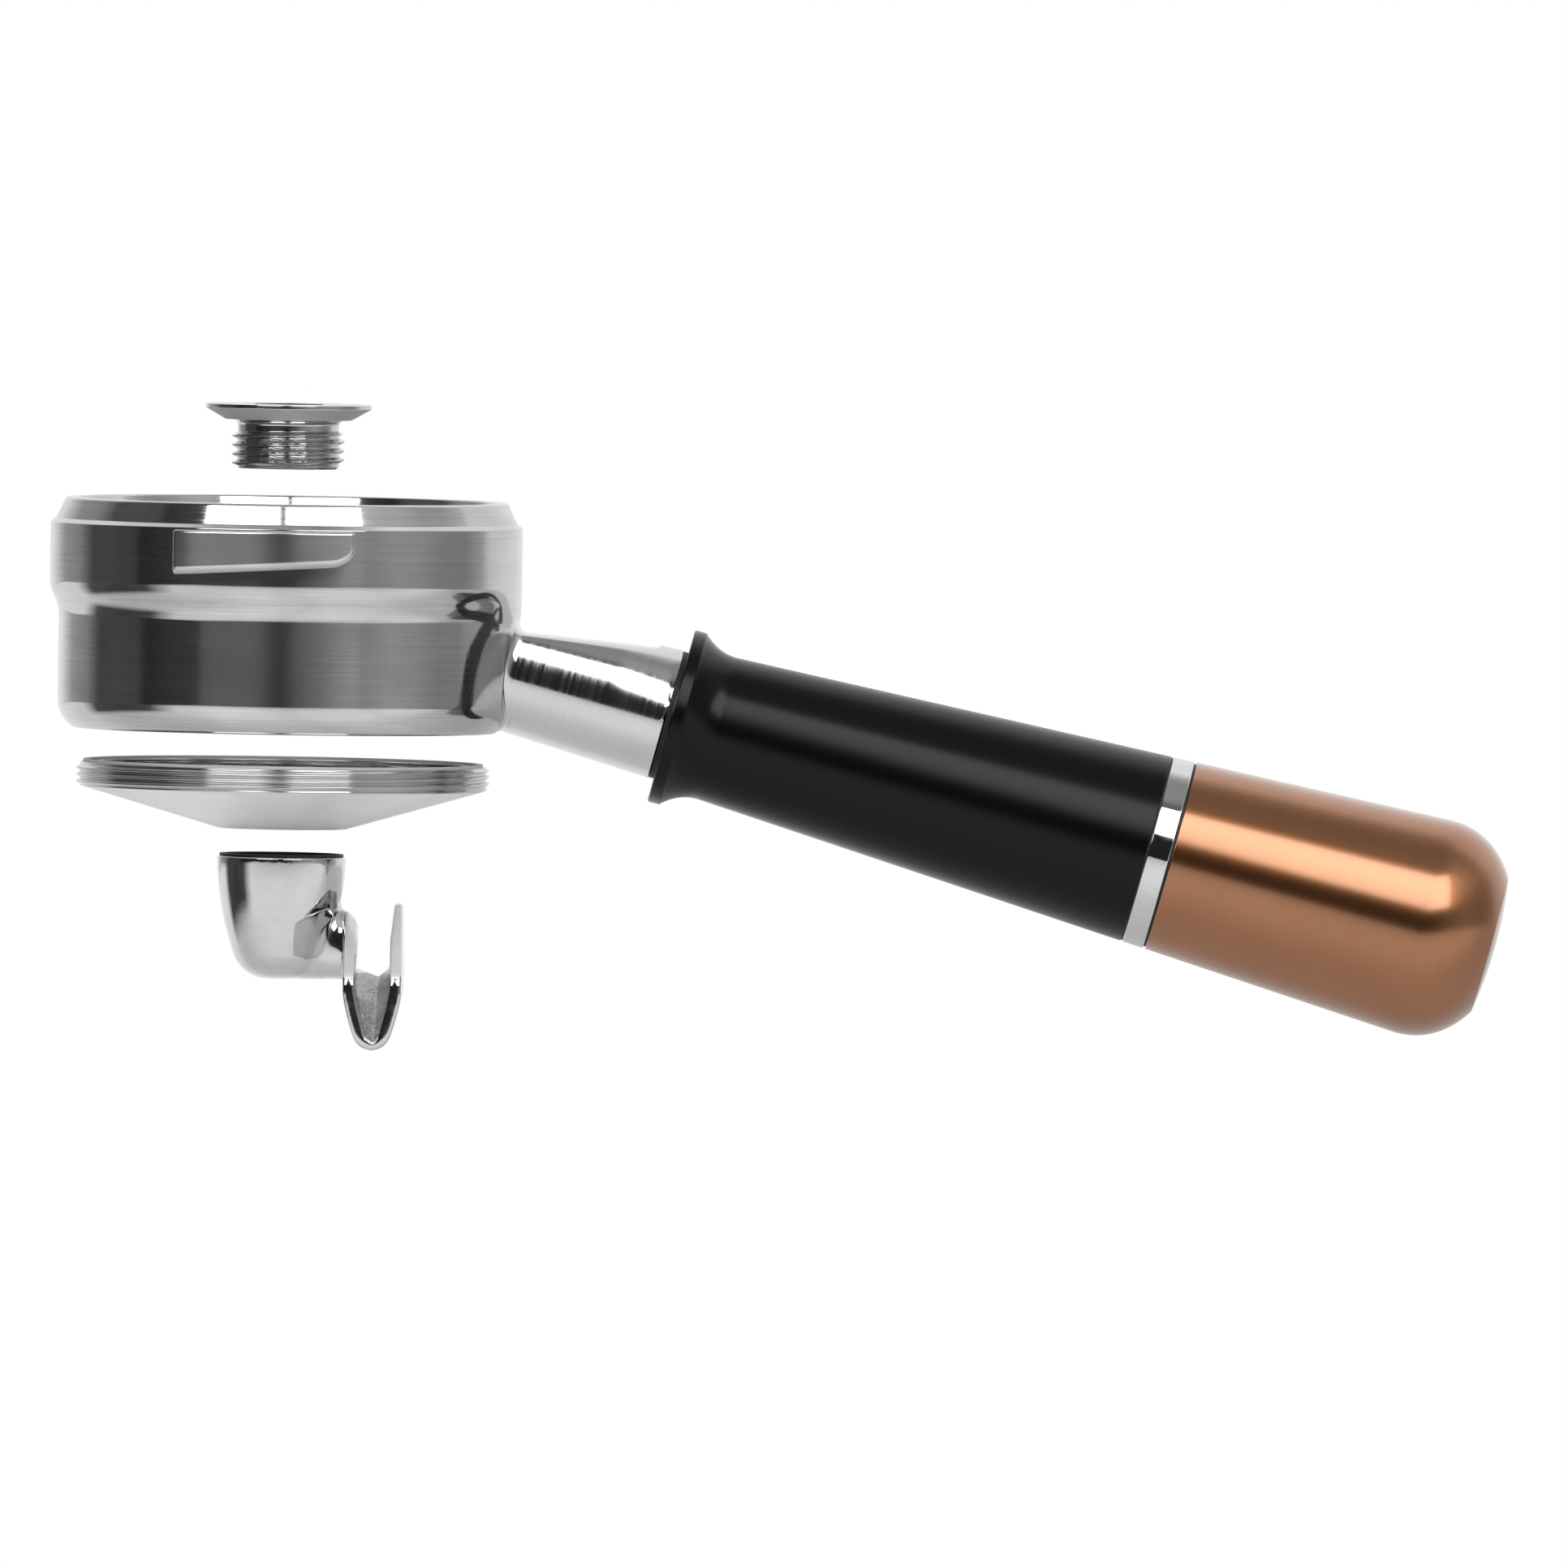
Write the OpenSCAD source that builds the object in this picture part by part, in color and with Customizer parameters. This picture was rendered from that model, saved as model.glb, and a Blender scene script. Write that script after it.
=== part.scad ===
// Espresso portafilter with a screw-in base, a double spout and a turned grip, in millimetres.
// Origin: centre of the rim plane. +X runs towards the grip, +Z up. Shown taken apart below the head.

/* [Head] */
// Diameter of the bore that takes the filter basket
bore_d = 60.4; // [52:0.1:68]
// Wall thickness round the base's thread
wall_t = 2.88; // [2:0.02:4]
// How far the upper band stands out over the lower wall
band_step = 1.4; // [0.8:0.1:2]
// Height from the rim to the lower lip
head_h = 34; // [32:0.1:40]
// Height of the slanted chamfer under the rim
chamfer_h = 3.1; // [2.4:0.1:3.6]
// Width of the slanted chamfer
chamfer_w = 1.5; // [1.2:0.1:1.8]
// Height of the small bevel between the chamfer and the band
ledge_h = 0.6; // [0.3:0.1:0.8]
// Width of that bevel
ledge_w = 0.8; // [0.4:0.1:1.2]
// Height of the straight upper band
band_h = 8.2; // [7.4:0.1:9]
// Height of the curved step from the band to the wall
waist_h = 5.6; // [4.5:0.1:6.5]
// Radius of the rounded lower corner
corner_r = 5.2; // [4.8:0.1:6]
// Width of the flat lower lip
lip_w = 0.65; // [0.4:0.05:0.9]
// Bevel on the inside of the rim
rim_bevel = 0.6; // [0.3:0.1:0.9]
// Width of the shoulder that the base tightens against, inwards from the bore
shoulder_w = 1.9; // [1.4:0.1:2.4]
// Thickness of that shoulder
shoulder_t = 1.6; // [1.2:0.1:2]

/* [Bayonet lugs] */
// How far the two lugs stand out from the band
lug_reach = 4.1; // [3:0.1:5]
// Depth of the lug tops below the rim
lug_top = 4.3; // [3.8:0.1:5]
// Lug reach to the left of the axis, seen from the front
lug_left = 16.4; // [14:0.1:18]
// Lug reach to the right of the axis, seen from the front
lug_right = 10.5; // [9:0.1:13]
// Lug height at its thick end
lug_thick = 6.2; // [5.5:0.1:6.8]
// Lug height at its thin, leading end
lug_thin = 4.6; // [4.2:0.1:5.2]
// Radius of the leading lower corner
lug_corner_r = 3.4; // [2:0.1:4]

/* [Basket spring] */
// Wire diameter of the spring that grips the basket
spring_wire_d = 1.2; // [0.9:0.1:1.4]
// Depth of the spring below the rim
spring_depth = 9; // [7:0.5:14]
// Arc covered by the open spring
spring_arc = 318; // [290:1:335]

/* [Neck] */
// Downward tilt of the neck and grip
grip_tilt = 14.7; // [12:0.1:18]
// Depth below the rim where the grip axis meets the head axis
grip_drop = 15.95; // [15:0.05:17]
// Neck length along the grip axis, from the head axis
neck_len = 58.5; // [55:0.5:64]
// Neck diameter where it leaves the head
neck_root_d = 17.8; // [17:0.1:18.6]
// Neck diameter at the grip
neck_end_d = 19.6; // [19.2:0.1:20.6]
// Tilt of the flat panel on the neck
panel_tilt = 5.2; // [3:0.1:6]
// Depth of the panel below the rim, at the head wall
panel_depth = 19.4; // [19:0.1:20.4]
// Plain length of neck left between the panel and the grip
panel_end = 2.8; // [1:0.1:4]
// Length of the pilot that centres the grip
pilot_len = 7.5; // [6:0.5:8]
// Diameter of that pilot
pilot_d = 14.8; // [14.4:0.1:15]

/* [Base] */
// How much wider the base thread is than the basket bore
base_step = 0.6; // [0.4:0.05:2]
// Depth of the base thread
base_thread_depth = 0.5; // [0.4:0.05:0.6]
// Pitch of the base thread
base_pitch = 1; // [0.75:0.05:1.15]
// Height of the threaded rim
base_rim_h = 3.5; // [3.2:0.1:4]
// Wall between the thread root and the dish
base_wall = 1.8; // [1.6:0.1:2]
// Height of the shallow cone
base_cone_h = 6; // [5:0.1:8]
// Diameter of the flat at the foot of the cone
base_flat_d = 19; // [18.9:0.1:21]
// Floor thickness of the dish
base_floor_t = 2; // [2:0.1:2.6]

/* [Spout screw] */
// Crest diameter of the pipe thread
screw_thread_d = 16.66; // [16.2:0.01:16.7]
// Root diameter of the pipe thread
screw_root_d = 15; // [14.8:0.05:15.2]
// Pitch of the pipe thread
screw_pitch = 1.337; // [1:0.001:1.4]
// Number of thread ridges
screw_ridges = 4; // [3:1:4]
// Flange diameter
flange_d = 24.6; // [24:0.1:25.6]
// Thickness of the flange edge
flange_edge = 0.6; // [0.4:0.1:0.8]
// Diameter at the small end of the flange cone
flange_cone_d = 18.7; // [18.2:0.1:19]
// Height of the flange cone
flange_cone_h = 1.7; // [1.4:0.1:1.8]
// Length of the plain undercut above the thread
undercut_h = 1.9; // [1.6:0.1:2.2]
// Size across the flats of the hexagon socket that runs through
hex_flats = 10; // [8:0.5:11]

/* [Spout] */
// Collar diameter at the top
collar_top_d = 19.1; // [18.9:0.1:20]
// Collar diameter at the end of its thread
collar_mid_d = 18.3; // [18.2:0.1:18.6]
// Depth of the threaded bore in the collar
collar_thread_h = 7.2; // [7:0.1:8]
// Cup diameter near its closed bottom
cup_d = 13; // [12.4:0.1:14]
// Cup depth, collar top to closed bottom
cup_h = 18.2; // [17.6:0.1:20]
// Radius of the rounded cup bottom
cup_corner_r = 3.4; // [2.5:0.1:4]
// Wall thickness of the casting
cast_wall = 1.6; // [1.4:0.1:1.8]
// Diameter of the arm from the cup to the trough
arm_d = 10.6; // [9.8:0.1:11]
// Diameter of the passage through the arm
arm_bore = 6.4; // [5.6:0.1:7]
// Distance from the axis to the middle of the trough
trough_x = 13.85; // [13.4:0.05:15]
// Outer width of the trough
trough_w = 8.8; // [8.4:0.1:9.4]
// Width of the channel in the trough
channel_w = 5.2; // [4.8:0.1:5.6]
// Distance between the outer ends of the two outlets
outlet_span = 40; // [36:0.5:46]
// Depth of the trough walls' tops below the collar top
trough_top = 6.8; // [6.4:0.1:7.4]
// Depth of the ridge that parts the flow
ridge_depth = 17.7; // [17.2:0.1:18.6]
// Depth where the outlet ends begin
outlet_top = 17.4; // [16.8:0.1:18.4]
// Depth of the outlet tips
outlet_tip = 28.6; // [28:0.1:31]

/* [Grip] */
// Diameter of the grip's front collar
collar_d = 26.3; // [25.4:0.1:28]
// Thickness of the front collar
collar_t = 1.9; // [1.5:0.1:2.4]
// Length of the hollow flare behind the collar
flare_len = 5.2; // [4:0.1:7]
// Sleeve diameter behind the flare
sleeve_d = 21.7; // [21.4:0.1:23]
// Growth of the grip's radius, in degrees
grip_taper = 2.845; // [2:0.005:3.4]
// Length of the sleeve
sleeve_len = 72.9; // [68:0.1:84]
// Width of the polished trim ring
ring_w = 3.2; // [2.6:0.1:4.5]
// Length of the end cap
cap_len = 49.8; // [48:0.1:56]
// Length of the cap's rounded shoulder
cap_round_len = 10.6; // [9:0.1:12]
// Diameter of the cap's end face
cap_face_d = 20.6; // [18:0.1:22]
// Height of the domed end face
cap_dome = 0.85; // [0.5:0.05:1.2]

/* [Inside the grip] */
// Crest diameter of the stud in the neck
stud_d = 12; // [11.6:0.05:12.2]
// Pitch of the stud
stud_pitch = 1.75; // [1.25:0.05:2]
// Depth that the stud enters the neck
stud_in_neck = 15.2; // [12:0.1:16]
// Length of the stud
stud_len = 40.7; // [37:0.1:41]
// Diameter of the threaded barrel
barrel_d = 16.2; // [16:0.1:16.6]
// Length of the threaded barrel
barrel_len = 29.5; // [28:0.1:32]
// Gap from the neck's shoulder to the barrel
barrel_gap = 10; // [9:0.1:11]
// Crest diameter of the tie rod
tie_d = 10; // [9.6:0.1:10.2]
// Pitch of the tie rod
tie_pitch = 1.5; // [1:0.05:1.75]
// Length that the tie rod screws into the barrel
tie_in_barrel = 9.7; // [8:0.1:10]
// Length that the tie rod screws into the weight
tie_in_weight = 13.5; // [12:0.1:14]
// Diameter of the dowel that stops the sleeve turning
dowel_d = 2; // [1.6:0.1:2.2]
// Length of that dowel
dowel_len = 6; // [4:0.5:8]
// Diameter of the balance weight in the cap
weight_d = 20; // [18:0.1:21]
// Length of the balance weight
weight_len = 33.3; // [28:0.1:34]
// Recess from the cap's front face to the weight
weight_recess = 2.6; // [2.4:0.1:3]
// Thickness of the snap ring that keeps the weight in
clip_t = 1; // [0.8:0.1:1.2]
// Radial width of the snap ring
clip_w = 1.8; // [1.4:0.1:2.2]

/* [Seals and washers] */
// Height of the base gasket
gasket_h = 1.1; // [1:0.05:1.3]
// Radial width of the base gasket
gasket_w = 0.9; // [0.7:0.05:1]
// Depth of the gasket's groove
gasket_groove_h = 0.7; // [0.6:0.05:0.8]
// Thickness of the washer on the spout's collar
spout_washer_t = 0.8; // [0.7:0.05:1]
// Depth of that washer's seat
spout_washer_seat = 0.5; // [0.4:0.05:0.6]
// Thickness of the washer between the neck and the grip
collar_washer_t = 0.7; // [0.5:0.05:1]
// Section diameter of the ring seal on the pilot
pilot_seal_d = 1.2; // [1:0.05:1.3]
// Distance of that seal from the neck's shoulder
pilot_seal_at = 4; // [3.2:0.1:5]
// Thickness of the gasket in front of the trim ring
front_gasket_t = 0.25; // [0.2:0.05:0.5]
// Thickness of the gasket behind the trim ring
rear_gasket_t = 0.35; // [0.2:0.05:0.6]

/* [Shown apart] */
// How far the base is screwed down and out of the head
base_drop = 8.6; // [0:0.1:30]
// How far the spout hangs below its seat on the base
spout_drop = 3.7; // [0:0.1:30]
// How far the screw is lifted above its seat in the base
screw_lift = 59.9; // [0:0.1:90]

/* [Clearances] */
// Radial gap between a threaded bore and the crests in it
thread_gap = 0.12; // [0.08:0.01:0.2]
// Radial gap of parts that slide together
slide_gap = 0.15; // [0.1:0.01:0.25]
// Radial gap of parts pressed together
press_gap = 0.02; // [0.01:0.01:0.05]
// Gap round a seal in its groove
seal_gap = 0.05; // [0.03:0.01:0.08]

/* [Hidden] */
$fn = 96;
far = 60;

// Head diameters, outwards from the bore
base_thread_d = bore_d + base_step;
base_bore_r = base_thread_d / 2 + thread_gap;
wall_d = 2 * (base_bore_r + wall_t);
band_d = wall_d + 2 * band_step;
rim_d = band_d - 2 * (chamfer_w + ledge_w);
lug_d = band_d + 2 * lug_reach;
shoulder_d = bore_d - 2 * shoulder_w;

// Head levels and radii
band_top = -chamfer_h - ledge_h;
band_foot = band_top - band_h;
waist_foot = band_foot - waist_h;
waist_angle = 2 * atan((band_d - wall_d) / 2 / waist_h);
waist_r = waist_h / 2 / sin(waist_angle);
lip_r = base_bore_r + lip_w;
corner_x = wall_d / 2 - corner_r;
lip_angle = acos((lip_r - corner_x) / corner_r);
corner_z = -head_h + corner_r * sin(lip_angle);
spring_groove_r = bore_d / 2 + spring_wire_d * 0.9;
spring_mid_r = spring_groove_r - seal_gap - spring_wire_d / 2;

// Base levels when it is screwed home: its cone starts level with the head's lip
base_top = -head_h + base_rim_h;
base_root_r = base_thread_d / 2 - base_thread_depth;
base_foot = -head_h - base_cone_h;
base_slope = base_cone_h / (base_root_r - base_flat_d / 2);
dish_r = base_root_r - base_wall;
gasket_mid_r = (dish_r + base_root_r) / 2;
shoulder_z = base_top + gasket_h - gasket_groove_h;

// Screw seat: the flange's edge lies level with the dish floor
seat_r = flange_d / 2 + slide_gap;
seat_z = base_foot + base_floor_t + base_slope * (seat_r - base_flat_d / 2);
screw_bore_r = screw_thread_d / 2 + thread_gap;
screw_thread_h = screw_ridges * screw_pitch;
screw_h = flange_edge + flange_cone_h + undercut_h + screw_thread_h;

// Spout levels, from its collar top
spout_seat_z = base_foot - spout_washer_t + spout_washer_seat;
arm_z = -cup_h + arm_d / 2;
channel_x = (trough_w - channel_w) / 2;
tip_w = trough_w - 5.6;
outlet_y = outlet_span / 2;

// Stations along the grip axis, from the head axis
sleeve_at = neck_len + collar_washer_t;
flare_at = sleeve_at + collar_t;
taper_at = flare_at + flare_len;
sleeve_end = sleeve_at + sleeve_len;
ring_at = sleeve_end + front_gasket_t;
ring_end = ring_at + ring_w;
cap_at = ring_end + rear_gasket_t;
cap_end = cap_at + cap_len;
cap_round_at = cap_end - cap_dome - cap_round_len;
stud_at = neck_len - stud_in_neck;
stud_bore_r = stud_d / 2 + thread_gap;
pilot_end = neck_len + pilot_len;
barrel_at = neck_len + barrel_gap;
barrel_end = barrel_at + barrel_len;
barrel_bore_r = barrel_d / 2 + slide_gap;
tie_at = barrel_end - tie_in_barrel;
tie_bore_r = tie_d / 2 + thread_gap;
tie_clear_r = tie_d / 2 + 2 * slide_gap;
weight_at = cap_at + weight_recess;
tie_end = weight_at + tie_in_weight;
dowel_at_r = (tie_clear_r + barrel_d / 2) / 2;
seal_mid_r = barrel_bore_r - seal_gap - pilot_seal_d / 2;

// Radius of the tapered grip at a station along its axis
function grip_r(t) = sleeve_d / 2 + (t - taper_at) * tan(grip_taper);

// Points of an arc, in degrees
function arc(cx, cy, r, from, to, steps = 10) = [
    for (i = [0:steps]) let(a = from + (to - from) * i / steps) [cx + r * cos(a), cy + r * sin(a)]
];

// Points of a hollow curve that leaves the first point steeply and meets the second along its slope
function flare(r1, t1, r2, t2, steps = 10) = [
    for (i = [0:steps]) let(k = i / steps) [r2 + (r1 - r2) * pow(1 - k, 2.2), t1 + (t2 - t1) * k]
];

// Ridges of a thread as a turned outline, from one level for a number of whole pitches
function ridges(crest, root, pitch, from, count) = [
    for (i = [0:count - 1], p = [[root, 0.1], [crest, 0.42], [crest, 0.58], [root, 0.9]])
        [p[0], from + (i + p[1]) * pitch]
];

// Whole pitches that fit in a length
function turns_in(length, pitch) = floor(length / pitch);

// Puts a child's Z axis on the grip axis, with its origin on the head axis
module along_grip() {
    translate([0, 0, -grip_drop])
        rotate([0, 90 + grip_tilt, 0])
            children();
}

// A turned piece on the grip axis, from points of radius and station
module grip_turned(points) {
    along_grip()
        rotate_extrude()
            polygon(points);
}

// A plain ring on the grip axis
module grip_ring(inner, outer, from, to) {
    grip_turned([[inner, from], [outer, from], [outer, to], [inner, to]]);
}

// Outside of the head: rim, chamfer, band, waist and rounded lower corner
module head_outside() {
    rotate_extrude($fn = 180)
        polygon(concat(
            [[0, 0], [rim_d / 2, 0], [rim_d / 2 + chamfer_w, -chamfer_h]],
            [[band_d / 2, band_top]],
            arc(band_d / 2 - waist_r, band_foot, waist_r, 0, -waist_angle, 6),
            arc(wall_d / 2 + waist_r, waist_foot, waist_r, 180 - waist_angle, 180, 6),
            arc(corner_x, corner_z, corner_r, 0, -lip_angle, 8),
            [[0, -head_h]]
        ));
}

// Inside of the head: basket bore, spring groove, shoulder and threaded bore for the base
module head_inside() {
    groove = spring_wire_d / 2 + seal_gap;
    shoulder_top = shoulder_z + shoulder_t;
    rotate_extrude($fn = 180)
        polygon([
            [0, 1], [bore_d / 2 + rim_bevel, 1], [bore_d / 2 + rim_bevel, 0],
            [bore_d / 2, -rim_bevel],
            [bore_d / 2, -spring_depth + groove], [spring_groove_r, -spring_depth + groove],
            [spring_groove_r, -spring_depth - groove], [bore_d / 2, -spring_depth - groove],
            [bore_d / 2, shoulder_top + (bore_d - shoulder_d) / 2],
            [shoulder_d / 2, shoulder_top], [shoulder_d / 2, shoulder_z],
            [base_bore_r, shoulder_z], [base_bore_r, -far], [0, -far]
        ]);
}

// One bayonet lug at the front, thick on the left and ramped to its leading end
module lug() {
    ramp = atan((lug_thick - lug_thin) / (lug_left + lug_right));
    intersection() {
        rotate_extrude($fn = 180)
            translate([wall_d / 2 - 1, -lug_top - lug_thick - 1])
                square([lug_d / 2 - wall_d / 2 + 1, lug_thick + 2]);
        rotate([90, 0, 0])
            linear_extrude(far)
                polygon(concat(
                    [[-lug_left, -lug_top], [-lug_left, -lug_top - lug_thick]],
                    arc(
                        lug_right - lug_corner_r,
                        -lug_top - lug_thin + lug_corner_r,
                        lug_corner_r, -90 + ramp, 0, 8
                    ),
                    [[lug_right, -lug_top]]
                ));
    }
}

// Neck outside: a slow taper with a flat panel let into its top, and the pilot for the grip
module neck_outside() {
    panel_from = wall_d / 2;
    panel_len = neck_len * cos(grip_tilt) + sin(grip_tilt) * neck_end_d / 2 - panel_end - panel_from;
    difference() {
        grip_turned([
            [0, wall_d / 4], [neck_root_d / 2, wall_d / 4], [neck_root_d / 2, wall_d / 2],
            [neck_end_d / 2, neck_len], [pilot_d / 2, neck_len], [pilot_d / 2, pilot_end],
            [0, pilot_end]
        ]);
        translate([panel_from, 0, -panel_depth])
            rotate([0, panel_tilt, 0])
                translate([-wall_d / 2, -neck_end_d, 0])
                    cube([wall_d / 2 + panel_len, 2 * neck_end_d, neck_end_d]);
    }
}

module head_casting() {
    seal_half = pilot_seal_d / 2 + seal_gap;
    seal_z = neck_len + pilot_seal_at;
    color("silver")
        difference() {
            union() {
                head_outside();
                lug();
                rotate([0, 0, 180])
                    lug();
                neck_outside();
            }
            head_inside();
            grip_ring(0, stud_bore_r, stud_at - slide_gap, pilot_end + 1);
            grip_ring(seal_mid_r - seal_half, pilot_d, seal_z - seal_half, seal_z + seal_half);
        }
}

module basket_spring() {
    color("gainsboro")
        rotate([0, 0, (360 - spring_arc) / 2])
            translate([0, 0, -spring_depth])
                rotate_extrude(angle = spring_arc, $fn = 180)
                    translate([spring_mid_r, 0])
                        circle(d = spring_wire_d, $fn = 24);
}

// Base: threaded rim, shallow cone, dish inside, and the seat and hole for the screw
module base_plate() {
    groove = gasket_w / 2 + seal_gap;
    hub_z = seat_z - flange_edge - flange_cone_h;
    count = turns_in(base_rim_h, base_pitch);
    dish_z = base_foot + base_floor_t + base_slope * (dish_r - base_flat_d / 2);
    color("lightsteelblue")
        translate([0, 0, -base_drop])
            rotate_extrude($fn = 180)
                polygon(concat(
                    [[screw_bore_r, base_foot], [base_flat_d / 2, base_foot], [base_root_r, -head_h]],
                    ridges(base_thread_d / 2, base_root_r, base_pitch, -head_h, count),
                    [[base_root_r, base_top], [gasket_mid_r + groove, base_top]],
                    [[gasket_mid_r + groove, base_top - gasket_groove_h]],
                    [[gasket_mid_r - groove, base_top - gasket_groove_h]],
                    [[gasket_mid_r - groove, base_top], [dish_r, base_top], [dish_r, dish_z]],
                    [[seat_r, seat_z], [seat_r, seat_z - flange_edge]],
                    [[flange_cone_d / 2 + slide_gap, hub_z], [screw_bore_r, hub_z]]
                ));
}

module base_gasket() {
    color("dimgray")
        translate([0, 0, -base_drop])
            rotate_extrude($fn = 180)
                translate([gasket_mid_r - gasket_w / 2, base_top - gasket_groove_h])
                    square([gasket_w, gasket_h]);
}

// Hollow screw that clamps the spout to the base, with a hexagon socket right through it
module spout_screw() {
    thread_z = undercut_h + flange_cone_h + flange_edge;
    color("silver")
        translate([0, 0, seat_z - base_drop + screw_lift])
            difference() {
                rotate_extrude()
                    polygon(concat(
                        [[0, 0], [flange_d / 2, 0], [flange_d / 2, -flange_edge]],
                        [[flange_cone_d / 2, -flange_edge - flange_cone_h]],
                        [[screw_root_d / 2, -flange_edge - flange_cone_h]],
                        [[screw_root_d / 2, -thread_z]],
                        ridges(screw_thread_d / 2, screw_root_d / 2, -screw_pitch, -thread_z, screw_ridges),
                        [[screw_root_d / 2, -screw_h], [0, -screw_h]]
                    ));
                translate([0, 0, -screw_h - 1])
                    cylinder(d = hex_flats / cos(30), h = screw_h + 2, $fn = 6);
            }
}

// Outline of the trough seen along its length, narrowing to the outlet tips
module trough_section(inset, top, tip) {
    half = trough_w / 2 - inset;
    foot = max(tip_w / 2 - inset, 0.9);
    bend = -outlet_top - 2.5;
    translate([trough_x, 0])
        polygon([
            [-half, top], [half - 0.4, top], [half, bend],
            [half - 0.7, bend - 3.4], [foot + 0.6, tip + 1], [foot - 0.1, tip],
            [-foot + 0.1, tip], [-foot - 0.6, tip + 1], [-half + 0.9, bend - 3.4],
            [-half, bend]
        ]);
}

// Side of the trough: high in the middle, with an outlet at each end
module trough_side() {
    under = -ridge_depth - cast_wall;
    polygon([
        [-outlet_y, -outlet_top], [-5, -trough_top], [5, -trough_top], [outlet_y, -outlet_top],
        [outlet_y, -outlet_tip + 2], [outlet_y - 1.2, -outlet_tip], [outlet_y - 4.4, -outlet_tip],
        [outlet_y * 0.6, under - 6.2], [outlet_y * 0.3, under - 2],
        [0, under],
        [-outlet_y * 0.3, under - 2], [-outlet_y * 0.6, under - 6.2],
        [-outlet_y + 4.4, -outlet_tip], [-outlet_y + 1.2, -outlet_tip], [-outlet_y, -outlet_tip + 2]
    ]);
}

// Space above the trough's floor, which falls from the ridge to both outlets
module channel_side() {
    lip = -outlet_tip + cast_wall;
    polygon([
        [-far, 0], [far, 0], [far, lip - 0.4], [outlet_y, lip],
        [outlet_y * 0.6, -ridge_depth - 5], [outlet_y * 0.3, -ridge_depth - 1.6],
        [0, -ridge_depth],
        [-outlet_y * 0.3, -ridge_depth - 1.6], [-outlet_y * 0.6, -ridge_depth - 5],
        [-outlet_y, lip], [-far, lip - 0.4]
    ]);
}

// Lays an outline seen along Y into the part
module along_y() {
    translate([0, far, 0])
        rotate([90, 0, 0])
            linear_extrude(2 * far)
                children();
}

// Lays an outline of Y and Z across the trough
module across_trough() {
    rotate([90, 0, 90])
        linear_extrude(far)
            children();
}

module spout_casting() {
    cup_r = cup_d / 2;
    inner_r = cup_r - cast_wall;
    wall_x = trough_x - trough_w / 2;
    inner_top = collar_mid_d / 2 - 2 * cast_wall;
    color("silver")
        translate([0, 0, spout_seat_z - base_drop - spout_drop])
            difference() {
                union() {
                    rotate_extrude()
                        polygon(concat(
                            [[0, 0], [collar_top_d / 2, 0], [collar_mid_d / 2, -collar_thread_h]],
                            arc(
                                cup_r - cup_corner_r, -cup_h + cup_corner_r,
                                cup_corner_r, 0, -90, 6
                            ),
                            [[0, -cup_h]]
                        ));
                    translate([0, 0, arm_z])
                        rotate([0, 90, 0])
                            cylinder(d = arm_d, h = wall_x + channel_x / 2);
                    intersection() {
                        along_y()
                            trough_section(0, -trough_top, -outlet_tip);
                        across_trough()
                            trough_side();
                    }
                }
                intersection() {
                    along_y()
                        trough_section(channel_x, 1, -outlet_tip + cast_wall / 2);
                    across_trough()
                        channel_side();
                }
                rotate_extrude()
                    polygon([
                        [0, 1], [screw_bore_r + (collar_top_d / 2 - screw_bore_r) * 0.7, 1],
                        [screw_bore_r + (collar_top_d / 2 - screw_bore_r) * 0.7, -spout_washer_seat],
                        [screw_bore_r, -spout_washer_seat],
                        [screw_bore_r, -collar_thread_h], [inner_top, -collar_thread_h - 0.5],
                        [inner_r, arm_z - arm_bore / 2], [0, arm_z - arm_bore / 2]
                    ]);
                translate([0, 0, arm_z])
                    rotate([0, 90, 0])
                        cylinder(d = arm_bore, h = trough_x);
            }
}

module spout_washer() {
    outer = screw_bore_r + (collar_top_d / 2 - screw_bore_r) * 0.7 - seal_gap;
    color("dimgray")
        translate([0, 0, spout_seat_z - base_drop - spout_drop - spout_washer_seat])
            rotate_extrude()
                translate([screw_bore_r, 0])
                    square([outer - screw_bore_r, spout_washer_t]);
}

module neck_stud() {
    count = turns_in(stud_len, stud_pitch);
    root = stud_d / 2 - stud_pitch * 0.54;
    color("gray")
        grip_turned(concat(
            [[0, stud_at], [root, stud_at]],
            ridges(stud_d / 2, root, stud_pitch, stud_at, count),
            [[root, stud_at + stud_len], [0, stud_at + stud_len]]
        ));
}

module collar_washer() {
    color("black")
        grip_ring(barrel_bore_r + slide_gap, neck_end_d / 2 - slide_gap, neck_len, sleeve_at);
}

module pilot_seal() {
    color("black")
        along_grip()
            rotate_extrude()
                translate([seal_mid_r, neck_len + pilot_seal_at])
                    circle(d = pilot_seal_d, $fn = 24);
}

// Sleeve: flanged front, hollow flare and slow taper, bored for the barrel and the tie rod
module grip_sleeve() {
    edge = 0.25;
    color("#222222")
        difference() {
            grip_turned(concat(
                [[0, sleeve_at], [collar_d / 2 - edge, sleeve_at], [collar_d / 2, sleeve_at + edge]],
                [[collar_d / 2, flare_at - edge]],
                flare(collar_d / 2 - edge, flare_at, sleeve_d / 2, taper_at),
                [[grip_r(sleeve_end), sleeve_end], [0, sleeve_end]]
            ));
            grip_ring(0, barrel_bore_r, sleeve_at - 1, barrel_end);
            grip_ring(0, tie_clear_r, barrel_end - 1, sleeve_end + 1);
            dowel_hole();
        }
}

// Space for the dowel, half in the barrel and half in the sleeve
module dowel_hole() {
    along_grip()
        translate([dowel_at_r, 0, barrel_end - dowel_len / 2])
            cylinder(d = dowel_d + 2 * press_gap, h = dowel_len, $fn = 32);
}

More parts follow.
